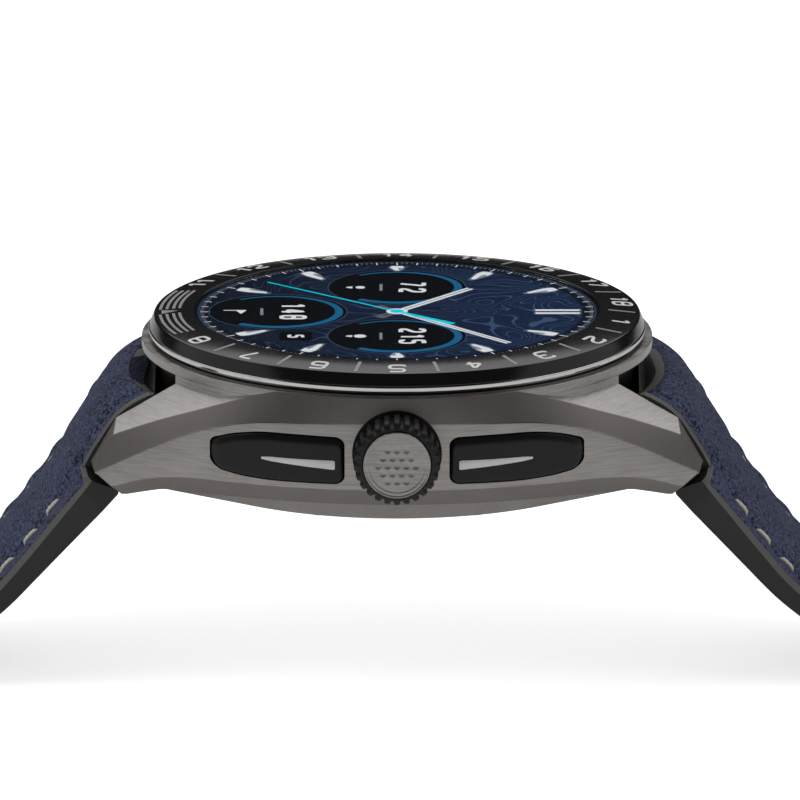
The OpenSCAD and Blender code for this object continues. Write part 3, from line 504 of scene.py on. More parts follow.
def pusher_rows(count=90):
    """Distances from the crown's axis, closer together at the two rounded ends."""
    t = np.linspace(0, math.pi, count)
    return 10.5 - 5.8 * np.cos(t) * (1 - 0.12 * np.sin(t) ** 2)


def pocket_cutter(side):
    """A closed block of a pusher's outline, grown all round by the clearance."""
    y = pusher_rows(60)
    low, high = pusher_outline(y)
    grow = 0.11
    y = y + np.interp(y, [4.7, 5.2, 15.6, 16.3], [-grow, 0, 0, grow])
    z = np.stack([low - grow, high + grow], 1)
    walls = []
    for x in (np.minimum(18.2, side_at(y) - 1.9), np.full_like(y, 26.0)):
        x, y2 = (np.repeat(v[:, None], 2, 1) for v in (x, side * y))
        walls.append(np.stack([x, y2, z], -1))
    ring = np.stack([walls[0][:, 0], walls[0][:, 1], walls[1][:, 1], walls[1][:, 0]], 1)
    return Form().grid(ring, round_cols=True, caps=True)


def cut(piece, cutter):
    """Takes the cutter's block out of the piece with an exact boolean, and deletes the block."""
    block = cutter.piece("cutter", "case", "titanium_painted_shade")
    change = piece.modifiers.new("cut", "BOOLEAN")
    change.operation, change.solver, change.object = "DIFFERENCE", "EXACT", block
    bpy.context.view_layer.objects.active = piece
    bpy.ops.object.modifier_apply(modifier=change.name)
    bpy.data.objects.remove(block)


def make_case():
    """The two flanks with their lugs, and the turned barrel and ring between them."""
    edge = sizes().edge
    rows = np.concatenate([
        np.linspace(0, LUG_START, 28), np.linspace(LUG_START, FACET_Y, 24)[1:],
        np.linspace(FACET_Y, TIP_Y, 8)[1:],
    ])
    section = case_section(rows)
    half = soften(section, np.array([0.12, edge, edge, edge, edge, 0.1]), 4)
    whole = np.concatenate([half[:0:-1] * [1, -1, 1], half])
    # Strips from each corner to the next: top facet, bevel, side, lower bevel, bottom, inner wall
    strips = np.repeat([0, 1, 0, 1, 1, 1], 4)
    strips[3::4] = [0, 1, 0, 1, 1, 1]
    # The third finish is titanium darkened as painted shade; the flanks use only the first two
    finishes = ["brushed_titanium", "blasted_titanium", "titanium_painted_shade"]
    for name, mirror in (("case_flank_right", 1), ("case_flank_left", -1)):
        form = Form().grid(whole * [mirror, 1, 1], round_cols=True, caps=True, finish=strips)
        centre = np.array([np.concatenate(form.points)[f].mean(0) for f in form.faces])
        marks = np.array(form.finish)
        ends = (np.abs(centre[:, 1]) > FACET_Y + 0.02 + 0.111 * (np.abs(centre[:, 0]) - LUG_IN))
        marks[ends & (marks == 0) & (centre[:, 2] > 2.2) & (np.abs(centre[:, 0]) < 13.6)] = 1
        form.finish = marks.tolist()
        piece = form.piece(name, "case", finishes, "brushed_titanium", ["mid_case"], 6)
        if mirror > 0:
            for side in (1, -1):
                cut(piece, pocket_cutter(side))
            seat = turned([(0, -0.6), (3.93, -0.6), (3.93, 3), (0, 3)], segments=96)
            cut(piece, Form().grid(on_x(seat, (22.7, 0, CROWN_Z)), round_rows=True,
                                   round_cols=True))
            piece.data.set_sharp_from_angle(angle=math.radians(12))
    ring_r = sizes().ring_r
    body = turned([(CAVITY_R, BACK_Z + 0.02), (BARREL_R, BACK_Z + 0.02), (BARREL_R, RING_LOW),
                   (ring_r, RING_LOW), (ring_r, RING_TOP), (CAVITY_R, RING_TOP)],
                  [0, 0.05, 0.02, 0.1, 0.1, 0], 256)
    # Over each lug a wall under the ring carries the ring's face down to the lug's top facet
    wall = Form()
    for sx in (1, -1):
        for sy in (1, -1):
            arcs = []
            for r, way in ((ring_r - 0.04, 1), (BARREL_R - 0.2, -1)):
                a = np.linspace(math.radians(35), math.acos((LUG_IN + 0.02) / r), 24)[::way]
                arcs.append(np.column_stack([sx * r * np.cos(a), sy * r * np.sin(a)]))
            wall.prism(np.concatenate(arcs), 8.6, RING_LOW + 0.1)
    wall.piece("case_ring_feet", "case", "brushed_titanium", "brushed_titanium", ["mid_case"], 20)
    # Painted shade: the barrel's wall, the ring's underside, the bottom and the bore take the
    # darkened titanium of slot 2 for the shade between the lugs; the ring's outer face and top stay
    # brushed
    marks = np.repeat([2, 2, 2, 0, 0, 2], 4)
    Form().grid(body, round_rows=True, round_cols=True, finish=marks).piece(
        "case_ring", "case", finishes, "brushed_titanium", ["mid_case"], 20)


# ---- Bezel ----

BEZEL_Z, BEZEL_TOP, BEZEL_R, RIM, CONE_FALL = 12.27, 13.71, 21.8, 0.4, 0.37
OPENING_R = 17.84

GLYPHS = {
    "0": [[(0, 0), (1, 0), (1, 1), (0, 1), None]],
    "1": [[(0.2, 0.74), (0.62, 1), (0.62, 0)]],
    "2": [[(0, 0.78), (0, 1), (1, 1), (1, 0.55), (0, 0.22), (0, 0), (1, 0)]],
    "3": [[(0, 0.8), (0, 1), (1, 1), (1, 0), (0, 0), (0, 0.2)], [(0.35, 0.52), (1, 0.52)]],
    "4": [[(0.74, 0), (0.74, 1), (0, 0.28), (1.05, 0.28)]],
    "5": [[(0.98, 1), (0, 1), (0, 0.56), (1, 0.56), (1, 0), (0, 0), (0, 0.18)]],
    "6": [[(0.95, 1), (0, 1), (0, 0), (1, 0), (1, 0.55), (0, 0.55)]],
    "7": [[(0, 1), (1, 1), (0.3, 0)]],
    "8": [[(0, 0), (1, 0), (1, 1), (0, 1), None], [(0, 0.52), (1, 0.52)]],
    "9": [[(0.05, 0), (1, 0), (1, 1), (0, 1), (0, 0.46), (1, 0.46)]],
}


def lettering(form, text, height, width, stroke, place, finish=0, low=-0.02, high=0.02):
    """Adds a plain number: each figure's lines are ribbons of one stroke on a grid of width by
    height, centred, and place(u, v, z) puts the flat points where they belong."""
    gap = stroke * 1.75
    wide = [0.7 if figure == "1" else 1.0 for figure in text]
    total = sum(w * width for w in wide) + gap * (len(text) - 1)
    at = -total / 2
    for figure, w in zip(text, wide):
        for k, line in enumerate(GLYPHS[figure]):
            closed = line[-1] is None
            points = np.array([p for p in line if p is not None], float)
            points = (points - [0.12 if figure == "1" else 0, 0.5]) * [width, height]
            inner = np.array([width - stroke, height - stroke]) / [width, height]
            points = (points - [width / 2, 0]) * inner + [width / 2, 0]
            path = soften(points, 0.28 * min(width, height), 5, closed)
            lift = 0.002 * k
            part = Form().ribbon(path, stroke, low, high + lift, closed)
            p = part.points[0]
            form.add(place(p[:, 0] + at, p[:, 1], p[:, 2]), part.faces, finish)
        at += w * width + gap
    return form


def on_cone(angle, radius, turn=0.0):
    """Puts flat points (u across, v outwards, z up) on the bezel's cone at a clock angle in
    degrees and a radius: the height is the cone's at each point's own distance from the axis."""
    a = math.radians(90 - angle)
    out = np.array([math.cos(a), math.sin(a)])
    across = np.array([math.sin(a), -math.cos(a)])

    def place(u, v, z):
        xy = (radius + v)[:, None] * out + u[:, None] * across
        r = np.linalg.norm(xy, axis=1)
        fall = CONE_FALL * (r - OPENING_R) / (BEZEL_R - RIM - OPENING_R)
        return np.column_stack([xy, BEZEL_TOP - fall + z])

    return place


def make_bezel():
    """The ceramic ring with its numbers, and the polished ring under it."""
    body = turned([(OPENING_R, BEZEL_Z), (BEZEL_R, BEZEL_Z), (BEZEL_R, BEZEL_Z + 0.06),
                   (BEZEL_R - RIM, BEZEL_TOP - CONE_FALL), (OPENING_R, BEZEL_TOP)],
                  [0, 0.02, 0.03, 0.14, 0.12], 256, 5)
    Form().grid(body, round_rows=True, round_cols=True).piece(
        "bezel_ceramic", "case", "black_ceramic", "black_ceramic", ["bezel_ring"], 18)
    trim = turned([(OPENING_R + 0.1, 11.5), (21.4, 11.5), (21.4, 11.78), (21.9, 11.78),
                   (21.9, 12.22), (21.5, 12.22), (21.5, 12.26), (OPENING_R + 0.1, 12.26)],
                  [0, 0.05, 0, 0.09, 0.09, 0, 0, 0], 256, 5)
    Form().grid(trim, round_rows=True, round_cols=True).piece(
        "bezel_trim", "case", "polished_steel", "polished_steel", ["trim_ring"], 40)
    numbers = Form()
    middle = 20.05
    s = sizes()
    for hole in range(1, 19):
        if hole in (9, 10):
            continue
        wide = s.numeral_w if hole < 10 else s.numeral_w * 0.86
        lettering(numbers, str(hole), s.numeral_h, wide, 0.3,
                  on_cone((hole - 0.5) * 20, middle))
    numbers.piece("bezel_numbers", "case", "numeral_white", "bright_inlay")
    marks = Form()
    for mark in range(18):
        if mark in (8, 9, 10):
            continue
        u, v = 0.15, 1.2
        box = Form().prism(np.array([(-u, -v), (u, -v), (u, v), (-u, v)]), -0.02, 0.015)
        p = box.points[0]
        marks.add(on_cone(mark * 20, middle - 0.25)(p[:, 0], p[:, 1], p[:, 2]), box.faces)
    for side in (-1, 1):
        for r in (19.18, 19.72, 20.3, 20.88):
            a = np.radians(90 - 180 + side * np.linspace(2.4, 21.4, 24))
            arc = np.column_stack([np.cos(a), np.sin(a)]) * r
            fall = CONE_FALL * (r - OPENING_R) / (BEZEL_R - RIM - OPENING_R)
            marks.ribbon(arc, 0.26, BEZEL_TOP - fall - 0.03, BEZEL_TOP - fall + 0.015)
    tri = Form().prism(np.array([(-0.62, 0.7), (0, -0.75), (0.62, 0.7)]), -0.02, 0.015)
    p = tri.points[0]
    marks.add(on_cone(180, middle)(p[:, 0], p[:, 1], p[:, 2]), tri.faces)
    marks.piece("bezel_marks", "case", "numeral_grey", "bright_inlay")


# ---- Screen ----

SCREEN_Z, PANEL_Z = 13.4, 11.62
SUBDIALS = ((0.0, -10.5, "148"), (8.6, 0.0, "215"), (-8.6, 0.0, "72"))


def screen_finish():
    """The lit screen: a navy ground that darkens towards 6 o'clock, a near-black rim, and thin
    height lines, which are where a smooth noise times a number of levels passes a whole number."""
    c = colours()
    material = glowing("screen_ground", c.screen, 1.0)
    tree = material.node_tree
    shader = tree.nodes["Principled BSDF"]
    link = tree.links.new

    def math_node(kind, a, b=None, third=None):
        node = tree.nodes.new("ShaderNodeMath")
        node.operation = kind
        for k, value in enumerate((a, b, third)):
            if value is None:
                continue
            if isinstance(value, (int, float)):
                node.inputs[k].default_value = value
            else:
                link(value, node.inputs[k])
        return node.outputs[0]

    place = tree.nodes.new("ShaderNodeTexCoord").outputs["Object"]
    apart = tree.nodes.new("ShaderNodeSeparateXYZ")
    link(place, apart.inputs[0])
    hills = add_node(material, "ShaderNodeTexNoise", Scale=135.0, Detail=0.6, Distortion=0.6)
    link(place, hills.inputs["Vector"])
    level = math_node("FRACT", math_node("MULTIPLY", hills.outputs["Fac"], 17.0))
    off = math_node("ABSOLUTE", math_node("SUBTRACT", level, 0.5))
    line = math_node("LESS_THAN", off, 0.07)
    rise = add_node(material, "ShaderNodeMapRange", From_Min=-0.017, From_Max=0.014)
    rise.inputs["To Min"].default_value = 0.12
    link(apart.outputs["Y"], rise.inputs["Value"])
    ground = add_node(material, "ShaderNodeMix")
    ground.data_type = "RGBA"
    ground.inputs[6].default_value = (*tone(9, 13, 19), 1)
    ground.inputs[7].default_value = (*tone(21, 38, 68), 1)
    link(rise.outputs["Result"], ground.inputs[0])
    lined = add_node(material, "ShaderNodeMix")
    lined.data_type = "RGBA"
    lined.inputs[7].default_value = (*tone(74, 98, 130), 1)
    link(math_node("MULTIPLY", line, math_node("MULTIPLY_ADD", rise.outputs["Result"], 0.5, 0.1)),
         lined.inputs[0])
    link(ground.outputs[2], lined.inputs[6])
    radius = math_node("SQRT", math_node("ADD", math_node("POWER", apart.outputs["X"], 2.0),
                                         math_node("POWER", apart.outputs["Y"], 2.0)))
    rim = math_node("GREATER_THAN", radius, 16.35 * MM)
    rimmed = add_node(material, "ShaderNodeMix")
    rimmed.data_type = "RGBA"
    rimmed.inputs[7].default_value = (*tone(10, 20, 34), 1)
    link(rim, rimmed.inputs[0])
    link(lined.outputs[2], rimmed.inputs[6])
    link(rimmed.outputs[2], shader.inputs["Emission Color"])
    shader.inputs["Base Color"].default_value = (0.005, 0.006, 0.01, 1)
    for wire in list(shader.inputs["Base Color"].links):
        tree.links.remove(wire)


def clock(angle, r):
    """Flat point at a clock angle in degrees and a radius."""
    a = np.radians(90 - np.asarray(angle, float))
    return np.stack([np.cos(a) * r, np.sin(a) * r], -1)


def on_dial(angle, radius, level, centre=(0.0, 0.0)):
    """Puts flat points (u across, v outwards) on the screen at a clock angle and a radius."""
    out, across = clock(angle, 1.0), clock(angle + 90, 1.0)

    def place(u, v, z=0.0):
        xy = (radius + v)[:, None] * out + u[:, None] * across + np.array(centre)
        return np.column_stack([xy, np.full(len(u), SCREEN_Z + level) + z])

    return place


def plate(form, outline, place, finish=0, thick=0.02):
    """Adds a thin plate of the flat outline (u, v), placed by place."""
    part = Form().prism(np.asarray(outline, float), -thick, 0.0)
    p = part.points[0]
    return form.add(place(p[:, 0], p[:, 1], p[:, 2]), part.faces, finish)


def bar(width, length, end=None, start=0.0):
    """Outline of a hand or bar that points outwards from start, end wide at its tip."""
    end = width if end is None else end
    return [(-width / 2, start), (width / 2, start), (end / 2, start + length),
            (-end / 2, start + length)]


def make_screen():
    """The screen's disc, its small dials, figures, marks and hands, under the crystal."""
    screen_finish()
    c = colours()
    for name, rgb in (
        ("screen_white", tone(226, 230, 234)), ("screen_grey", tone(128, 138, 150)),
        ("screen_dark", tone(9, 12, 17)), ("screen_arc", c.arc), ("screen_second", c.second),
        ("screen_shade", tone(92, 98, 108)), ("screen_faint", tone(56, 74, 96)),
    ):
        glowing(name, rgb, 1.0, 0.1)
    r = OPENING_R - 0.06
    disc = turned([(0, PANEL_Z), (r, PANEL_Z), (r, SCREEN_Z), (0, SCREEN_Z)], segments=160)
    Form().grid(disc, round_rows=True).piece(
        "screen_disc", "case", "screen_ground", "display", ["display_panel"])
    lens = turned([(0, 13.53), (r, 13.53), (r, 13.61), (0, 13.61)], segments=160)
    Form().grid(lens, round_rows=True).piece(
        "screen_lens", "case", "crystal", "crystal", ["cover_glass"])
    marks = Form()
    inks = ["screen_white", "screen_grey", "screen_dark", "screen_arc", "screen_shade",
            "screen_faint"]
    white, grey, dark, arc_ink, shade, faint = range(6)
    for k in range(240):
        main = k % 4 == 0
        size = 0.85 if k % 20 == 0 else 0.62 if main else 0.34
        plate(marks, bar(0.11 if main else 0.07, size),
              on_dial(k * 1.5, 17.35 - size, 0.012), white if main else grey)
    ring = clock(np.linspace(0, 360, 180, endpoint=False), 17.5)
    marks.ribbon(ring, 0.1, SCREEN_Z - 0.01, SCREEN_Z + 0.012, True, faint)
    bullet = soften([(-0.2, -1.85), (0.2, -1.85), (0.72, 0.35), (0.6, 1.5), (-0.6, 1.5),
                     (-0.72, 0.35)], [0.1, 0.1, 0.5, 0.35, 0.35, 0.5], 5)
    for hour in (1, 2, 3, 4, 5, 7, 8, 9, 10, 11):
        reach = 14.75 if hour not in (3, 9) else 15.35
        long = 1.0 if hour in (1, 2, 4, 5, 7, 8, 10, 11) else 0.55
        at = on_dial(hour * 30, reach, 0.014)
        plate(marks, bullet * [1.12, long], at, shade)
        plate(marks, bullet * [0.86, long * 0.86] + [0, 0.12],
              on_dial(hour * 30, reach, 0.02), white)
        plate(marks, bullet * [0.3, long * 0.5] + [0.3, -0.3],
              on_dial(hour * 30, reach, 0.026), grey)
    for aside in (-0.52, 0.52):
        plate(marks, np.array(bar(0.8, 4.2, 0.8, -2.1)) + [aside, 0], on_dial(0, 14.15, 0.014),
              shade)
        plate(marks, np.array(bar(0.5, 3.9, 0.5, -1.95)) + [aside, 0], on_dial(0, 14.15, 0.02),
              white)
    for x, y, number in SUBDIALS:
        face = turned([(0, -0.02), (6.05, -0.02), (6.05, 0.008), (0, 0.008)], segments=96)
        marks.grid(face + [x, y, SCREEN_Z], round_rows=True, finish=dark)
        circle = clock(np.linspace(0, 360, 120, endpoint=False), 6.1) + [x, y]
        marks.ribbon(circle, 0.09, SCREEN_Z - 0.01, SCREEN_Z + 0.014, True, faint)
        open_half = 52
        sweep = clock(np.linspace(180 + open_half, 540 - open_half, 90), 5.4) + [x, y]
        width = 0.22 + 0.5 * ramp(np.linspace(0, 1, 90), 0.0, 0.6)
        marks.ribbon(sweep, width, SCREEN_Z - 0.01, SCREEN_Z + 0.016, finish=arc_ink)
        place = on_dial(0, 0.0, 0.0, (x, y + 1.35))
        lettering(marks, number, 2.45, 1.42, 0.42, place, white,
                  0.008, 0.024)
        # Plain bars where the reading's unit would be, and a small flag, tee or ball over them
        plate(marks, np.array(bar(2.3, 0.26)) + [0, -1.55], on_dial(0, 0.0, 0.02, (x, y)), grey)
    flag = on_dial(0, 0.0, 0.02, (0.0, -14.3))
    plate(marks, [(-0.55, -1.0), (-0.4, -1.0), (-0.4, 1.0), (-0.55, 1.0)], flag, white)
    plate(marks, [(-0.4, 0.1), (0.75, 0.55), (-0.4, 1.0)], flag, white)
    for x, y in ((8.6, -3.6), (-8.6, -3.6)):
        ball = clock(np.linspace(0, 360, 28, endpoint=False), 0.55 if x > 0 else 0.42)
        plate(marks, ball + [0, 0.35], on_dial(0, 0.0, 0.02, (x, y)), white)
        plate(marks, [(-0.1, -0.9), (0.1, -0.9), (0.35, -0.35), (-0.35, -0.35)],
              on_dial(0, 0.0, 0.02, (x, y)), white)
    window = soften([(-1.45, -1.45), (1.45, -1.45), (1.45, 1.45), (-1.45, 1.45)], 0.3)
    plate(marks, window, on_dial(0, 0.0, 0.012, (8.65, -8.9)), dark)
    place = on_dial(0, 0.0, 0.0, (8.65, -8.9))
    lettering(marks, "5", 1.5, 1.0, 0.3, place, white, 0.01, 0.026)
    marks.piece("screen_marks", "case", inks, "display")
    hands = Form()
    for angle, reach, wide, level in ((-51.6, 10.4, 0.95, 0.03), (48.5, 14.8, 0.85, 0.045)):
        at = on_dial(angle, 0.0, level)
        plate(hands, bar(wide, reach + 2.6, wide * 0.8, -2.6), at, 1)
        side_at_tip = on_dial(angle, 0.0, level + 0.006)
        for aside in (-1, 1):
            plate(hands, np.array(bar(wide * 0.36, reach - 1.0, wide * 0.3, 1.0))
                  + [aside * wide * 0.24, 0], side_at_tip, 0)
        plate(hands, bar(wide * 0.12, reach * 0.5, wide * 0.1, -2.0),
              on_dial(angle, 0.0, level + 0.009), 2)
    hub = clock(np.linspace(0, 360, 40, endpoint=False), 0.95)
    plate(hands, hub, on_dial(0, 0.0, 0.06), 0)
    hands.piece("screen_hands", "case", ["screen_white", "screen_shade", "screen_dark"],
                "display")
    second = Form()
    plate(second, bar(0.2, 15.4, 0.16), on_dial(222, 0.0, 0.07))
    plate(second, bar(0.34, 6.6, 0.62), on_dial(42, 0.0, 0.07))
    plate(second, hub * 0.62, on_dial(0, 0.0, 0.075))
    second.piece("screen_second_hand", "case", "screen_second", "display")


# ---- Crown and pushers ----

CROWN_Z = 6.4


def make_crown():
    """The notched rubber knob and the dimpled metal cap, turned on the crown's axis."""
    back, front = 22.76, 26.35
    profile = np.array([(0, 3.05), (2.35, 3.05), (2.35, 0), (2.6, 0), (3.45, 0.02),
                        (3.72, 0.3), (3.8, 0.75), (3.8, 1.6),
                        (3.8, 2.6), (3.8, 2.95), (3.68, 3.35), (3.42, 3.57), (3.06, 3.59),
                        (3.0, 3.45), (2.96, 3.2), (0, 3.2)])
    depth = np.array([0, 0, 0, 0, 0.15, 0.28, 0.34, 0.34, 0.34, 0.34, 0.3, 0.16, 0, 0, 0, 0])
    a = np.linspace(0, TAU, 26 * 14, endpoint=False)
    wave = 0.5 + 0.5 * np.cos(a * sizes().notches)
    groove = ramp(wave, 0.35, 0.95)
    r = profile[None, :, 0] - depth[None, :] * groove[:, None]
    x = np.broadcast_to(profile[None, :, 1], r.shape)
    p = np.stack([r * np.cos(a)[:, None], r * np.sin(a)[:, None], x], -1)
    Form().grid(on_x(p, (back, 0, CROWN_Z)), round_rows=True).piece(
        "crown_grip", "crown", "knob_rubber", "knob_rubber", ["crown_knob"], 40)
    rr = np.concatenate([np.linspace(0, 2.62, 44), [2.75, 2.86, 2.94, 2.97, 2.97]])
    lift = np.concatenate([np.full(44, 0.25), [0.25, 0.28, 0.27, 0.2, -0.1]])
    lift[:44] = np.where(rr[:44] > 2.45, 0.25, 0.21)
    a = np.linspace(0, TAU, 160, endpoint=False)
    u, v = rr[None, :] * np.cos(a)[:, None], rr[None, :] * np.sin(a)[:, None]
    pitch = 0.82
    rows = np.round(v / (pitch * 0.866))
    shift = (rows % 2) * 0.5
    cols = np.round(u / pitch - shift)
    near = np.hypot(u - (cols + shift) * pitch, v - rows * pitch * 0.866)
    away = np.hypot((cols + shift) * pitch, rows * pitch * 0.866)
    dimple = np.where((away < 2.15) & (near < 0.36), 0.05 * (1 - (near / 0.36) ** 2), 0)
    p = np.stack([u, v, np.broadcast_to(lift, u.shape) - dimple], -1)
    Form().grid(on_x(p, (front + 0.02, 0, CROWN_Z)), round_rows=True).piece(
        "crown_cap_disc", "crown", "brushed_titanium", "brushed_titanium", ["crown_cap"], 14,
        outward=True)


def pusher_surface(side, proud=0.25, rows=90, cols=44):
    """A pusher's cushioned face: its height over the case's side face falls off towards the
    outline by a quarter round, wide at the top and narrow elsewhere."""
    y = pusher_rows(rows)[:, None]
    low, high = pusher_outline(y)
    t = 0.5 - 0.5 * np.cos(np.linspace(0, math.pi, cols))[None, :]
    z = low + (high - low) * t

    def slope(gap, width, drop):
        s = np.clip(gap / width, 0, 1)
        return drop * (1 - np.sqrt(1 - (1 - s) ** 2))

    d = (slope(high - z, 0.85, 0.42) + slope(z - low, 0.4, 0.25)
         + slope(y - 4.7, 0.45, 0.3) + slope(16.3 - y, 0.9, 0.35))
    x = side_at(y) + proud - np.minimum(d, 0.5)
    return np.stack([x, np.broadcast_to(side * y, z.shape), z], -1)


def make_pushers():
    """Both pushers, each a cushioned cap with a bright tapering inlay."""
    for side, name in ((1, "12"), (-1, "6")):
        face = pusher_surface(side)
        deep = face.copy()
        deep[..., 0] = side_at(face[..., 1]) - 0.9
        # Over its spring the cap is thinner, so that it stays clear when pressed
        thin = (np.abs(face[..., 1]) < 12.3) & (deep[..., 0] < 20.25)
        deep[thin, 0] = 20.25
        ring = np.concatenate([face, deep[:, ::-1]], 1)
        Form().grid(ring, round_cols=True, caps=True).piece(
            f"pusher_{name}_cushion", f"pusher_{name}", "pusher_black", "pusher_black",
            [f"pusher_{name}_cap"], 30)
        y = np.linspace(5.45, 11.9, 40)
        mid = curve(y, [5.4, 9, 12], [5.36, 5.5, 5.66])
        half = np.interp(y, [5.4, 11.0, 11.9], [0.42, 0.2, 0.1])
        half = half * np.interp(y, [5.45, 5.52], [0.85, 1])
        x = side_at(y)
        stripe = np.stack([
            np.stack([x + 0.1, side * y, mid - half], -1),
            np.stack([x + 0.27, side * y, mid - half], -1),
            np.stack([x + 0.29, side * y, mid - half + 0.04], -1),
            np.stack([x + 0.29, side * y, mid + half - 0.04], -1),
            np.stack([x + 0.27, side * y, mid + half], -1),
            np.stack([x + 0.1, side * y, mid + half], -1),
        ], 1)
        Form().grid(stripe, round_cols=True, caps=True).piece(
            f"pusher_{name}_stripe", f"pusher_{name}", "bright_inlay", "bright_inlay",
            [f"pusher_{name}_inlay"], 30)


# ---- Strap ----

LEG, BEND_R, ROOT_Y, ROOT_Z = math.radians(48.3), 27.0, 24.6, 0.3
SHOULDER_Y, TAPER_END, TABLE_Z = 27.1, 54.0, -18.2
END_HALF, SHOULDER_LIP = 11.0, 10.35
TIP_R = 13.0
HOLE_COUNT, HOLE_PITCH, HOLE_FROM_TIP, HOLE_R = 7, 7.0, 28.0, 1.3


class StrapHalf:
    """One half of the strap in its own measure: s along the underside from the root, h square to
    it, x across. The leg is straight, then bends at BEND_R until it lies level."""

    def __init__(self, name, side, flat_z, level, leather_end):
        self.name, self.side = name, side
        self.leg = (ROOT_Z - flat_z - BEND_R * (1 - math.cos(LEG))) / math.sin(LEG)
        self.flat = self.leg + BEND_R * LEG
        self.end = self.flat + level
        self.flat_y = ROOT_Y + self.leg * math.cos(LEG) + BEND_R * math.sin(LEG)
        self.end_y = self.flat_y + level
        self.leather_end = leather_end
        self.round_tip = side < 0

    def side_view(self, s, h):
        """y = straight cos a0 + R (sin a0 - sin a) + level + h sin a, and z likewise, where a is
        the angle below level at s."""
        a = np.clip(LEG - np.maximum(s - self.leg, 0) / BEND_R, 0, LEG)
        straight = np.minimum(s, self.leg)
        y = (ROOT_Y + straight * math.cos(LEG) + BEND_R * (math.sin(LEG) - np.sin(a))
             + np.maximum(s - self.flat, 0) + h * np.sin(a))
        z = (ROOT_Z - straight * math.sin(LEG) - BEND_R * (np.cos(a) - math.cos(LEG))
             + h * np.cos(a))
        return y, z

    def place(self, x, s, h):
        y, z = self.side_view(s, h)
        return np.stack(np.broadcast_arrays(x, self.side * y, z), -1)

    def half(self, s):
        """Half width past the shoulders: 10 + 4 (1 - u)^2 over the taper, round at the tip."""
        y = self.side_view(s, 1.6)[0]
        u = np.clip((y - SHOULDER_Y) / (TAPER_END - SHOULDER_Y), 0, 1)
        wide = 10 + 4 * (1 - u) ** 2
        if self.round_tip:
            reach = np.clip(y - (self.end_y - TIP_R), 0, TIP_R)
            wide = np.where(reach > 0, np.minimum(wide, np.sqrt(TIP_R**2 - reach**2)), wide)
        return wide

    def leather_half(self, s):
        lip = strap_sizes().lip + 0.05
        y = self.side_view(s, 1.6)[0]
        wide = self.half(s) - lip
        if self.round_tip:
            r = TIP_R - lip
            reach = np.clip(y - (self.end_y - TIP_R), 0, r)
            wide = np.where(reach > 0, np.minimum(wide, np.sqrt(r**2 - reach**2)), wide)
        return SHOULDER_LIP + (np.maximum(wide, 0.05) - SHOULDER_LIP) * ramp(s, 0.3, 1.2)

    def sewn(self, s):
        """Distance of the stitches from the middle."""
        return curve(s, [-8.5, -3, 5, 14, 40, 130], [7.7, 8.2, 8.6, 8.35, 7.65, 7.65])

    def edge_height(self, s, x):
        """Height of the leather's edge, which falls towards the shoulders just past the lugs."""
        inner = curve(s, [-8.6, -8.2, -5.93, -4.73, -2.45, 0.84, 2.2, 3.6, 5.5, 8.96, 13.3, 20, 140],
                      [3.5, 3.7, 4.47, 4.6, 4.32, 3.76, 3.52, 3.08, 2.68, 2.36, 2.14, 2.1, 2.1])
        drop = curve(s, [-1, 0.2, 1.1, 2.2, 3.6, 5.5, 8], [0, 0.5, 0.86, 0.7, 0.36, 0.06, 0])
        return inner - drop * ramp(np.abs(x), 9.2, 13.4)

    def top(self, s, x):
        """Height of the leather's face: its edge's height, plus a puffed border that is drawn
        down at each end of a stitch, a groove along the stitches, a step up inside them and a
        crown of 1 - (x / sewn)^2 over the middle."""
        t = strap_sizes()
        width, sewn = self.leather_half(s), self.sewn(s)
        x = np.abs(x)
        gap = width - x
        left = self.leather_end - s
        calm = ramp(left, 1.5, 6.0)
        beat = np.abs(np.sin(np.pi * (s - 5.5 + t.stitch_pitch / 2) / t.stitch_pitch))
        beat = beat * ramp(s, -4.0, -2.2) + 0.6 * (1 - ramp(s, -4.0, -2.2))
        puff = np.where(gap < 0.7, np.sqrt(np.clip(1 - (1 - gap / 0.7) ** 2, 0, 1)),
                        1 - ramp(gap, 0.7, 2.4) * 0.75)
        border = (0.4 * beat - 0.12) * puff
        inside = ramp(sewn - x, 0.02, 0.6)
        groove = 0.28 * np.exp(-((x - sewn) / 0.32) ** 2) * (0.75 + 0.5 * (1 - beat)) * calm
        crown = calm * t.padding * (0.26 * inside + 0.58 * np.clip(1 - (x / sewn) ** 2, 0, 1))
        return (self.edge_height(s, x) - 0.03 + border * (1 - inside * calm) - groove + crown
                + 0.03 * inside)

    def warp(self, s, x):
        """Rows near the case follow its round barrel: 1.6 (1 - (x / 10.5)^2) at the end, fading
        to nothing at the root."""
        bow = 1.6 * np.clip(1 - (x / 10.5) ** 2, 0, 1)
        return s + bow * (1 - ramp(s, -8.3, 0.0))

    def rows(self, start, end, tip_r=TIP_R):
        """Distances along the half, closer together at the shoulder and round the tip."""
        lead = np.arange(start, min(-0.2, end), 0.32)
        turn = np.arange(0.0, 1.4, 0.1)
        if self.round_tip:
            w = np.linspace(9.7, 0.15, 26)
            y = self.end_y - TIP_R + np.sqrt(tip_r**2 - w**2)
            tip = self.flat + (y - self.flat_y)
            run = np.arange(1.5, tip[0] - 0.2, 0.42)
        else:
            tip = end - np.array([0.3, 0.12, 0.03, 0.0])
            run = np.arange(1.5, tip[0] - 0.2, 0.42)
        return np.concatenate([lead if start < 0 else [], turn, run, tip])


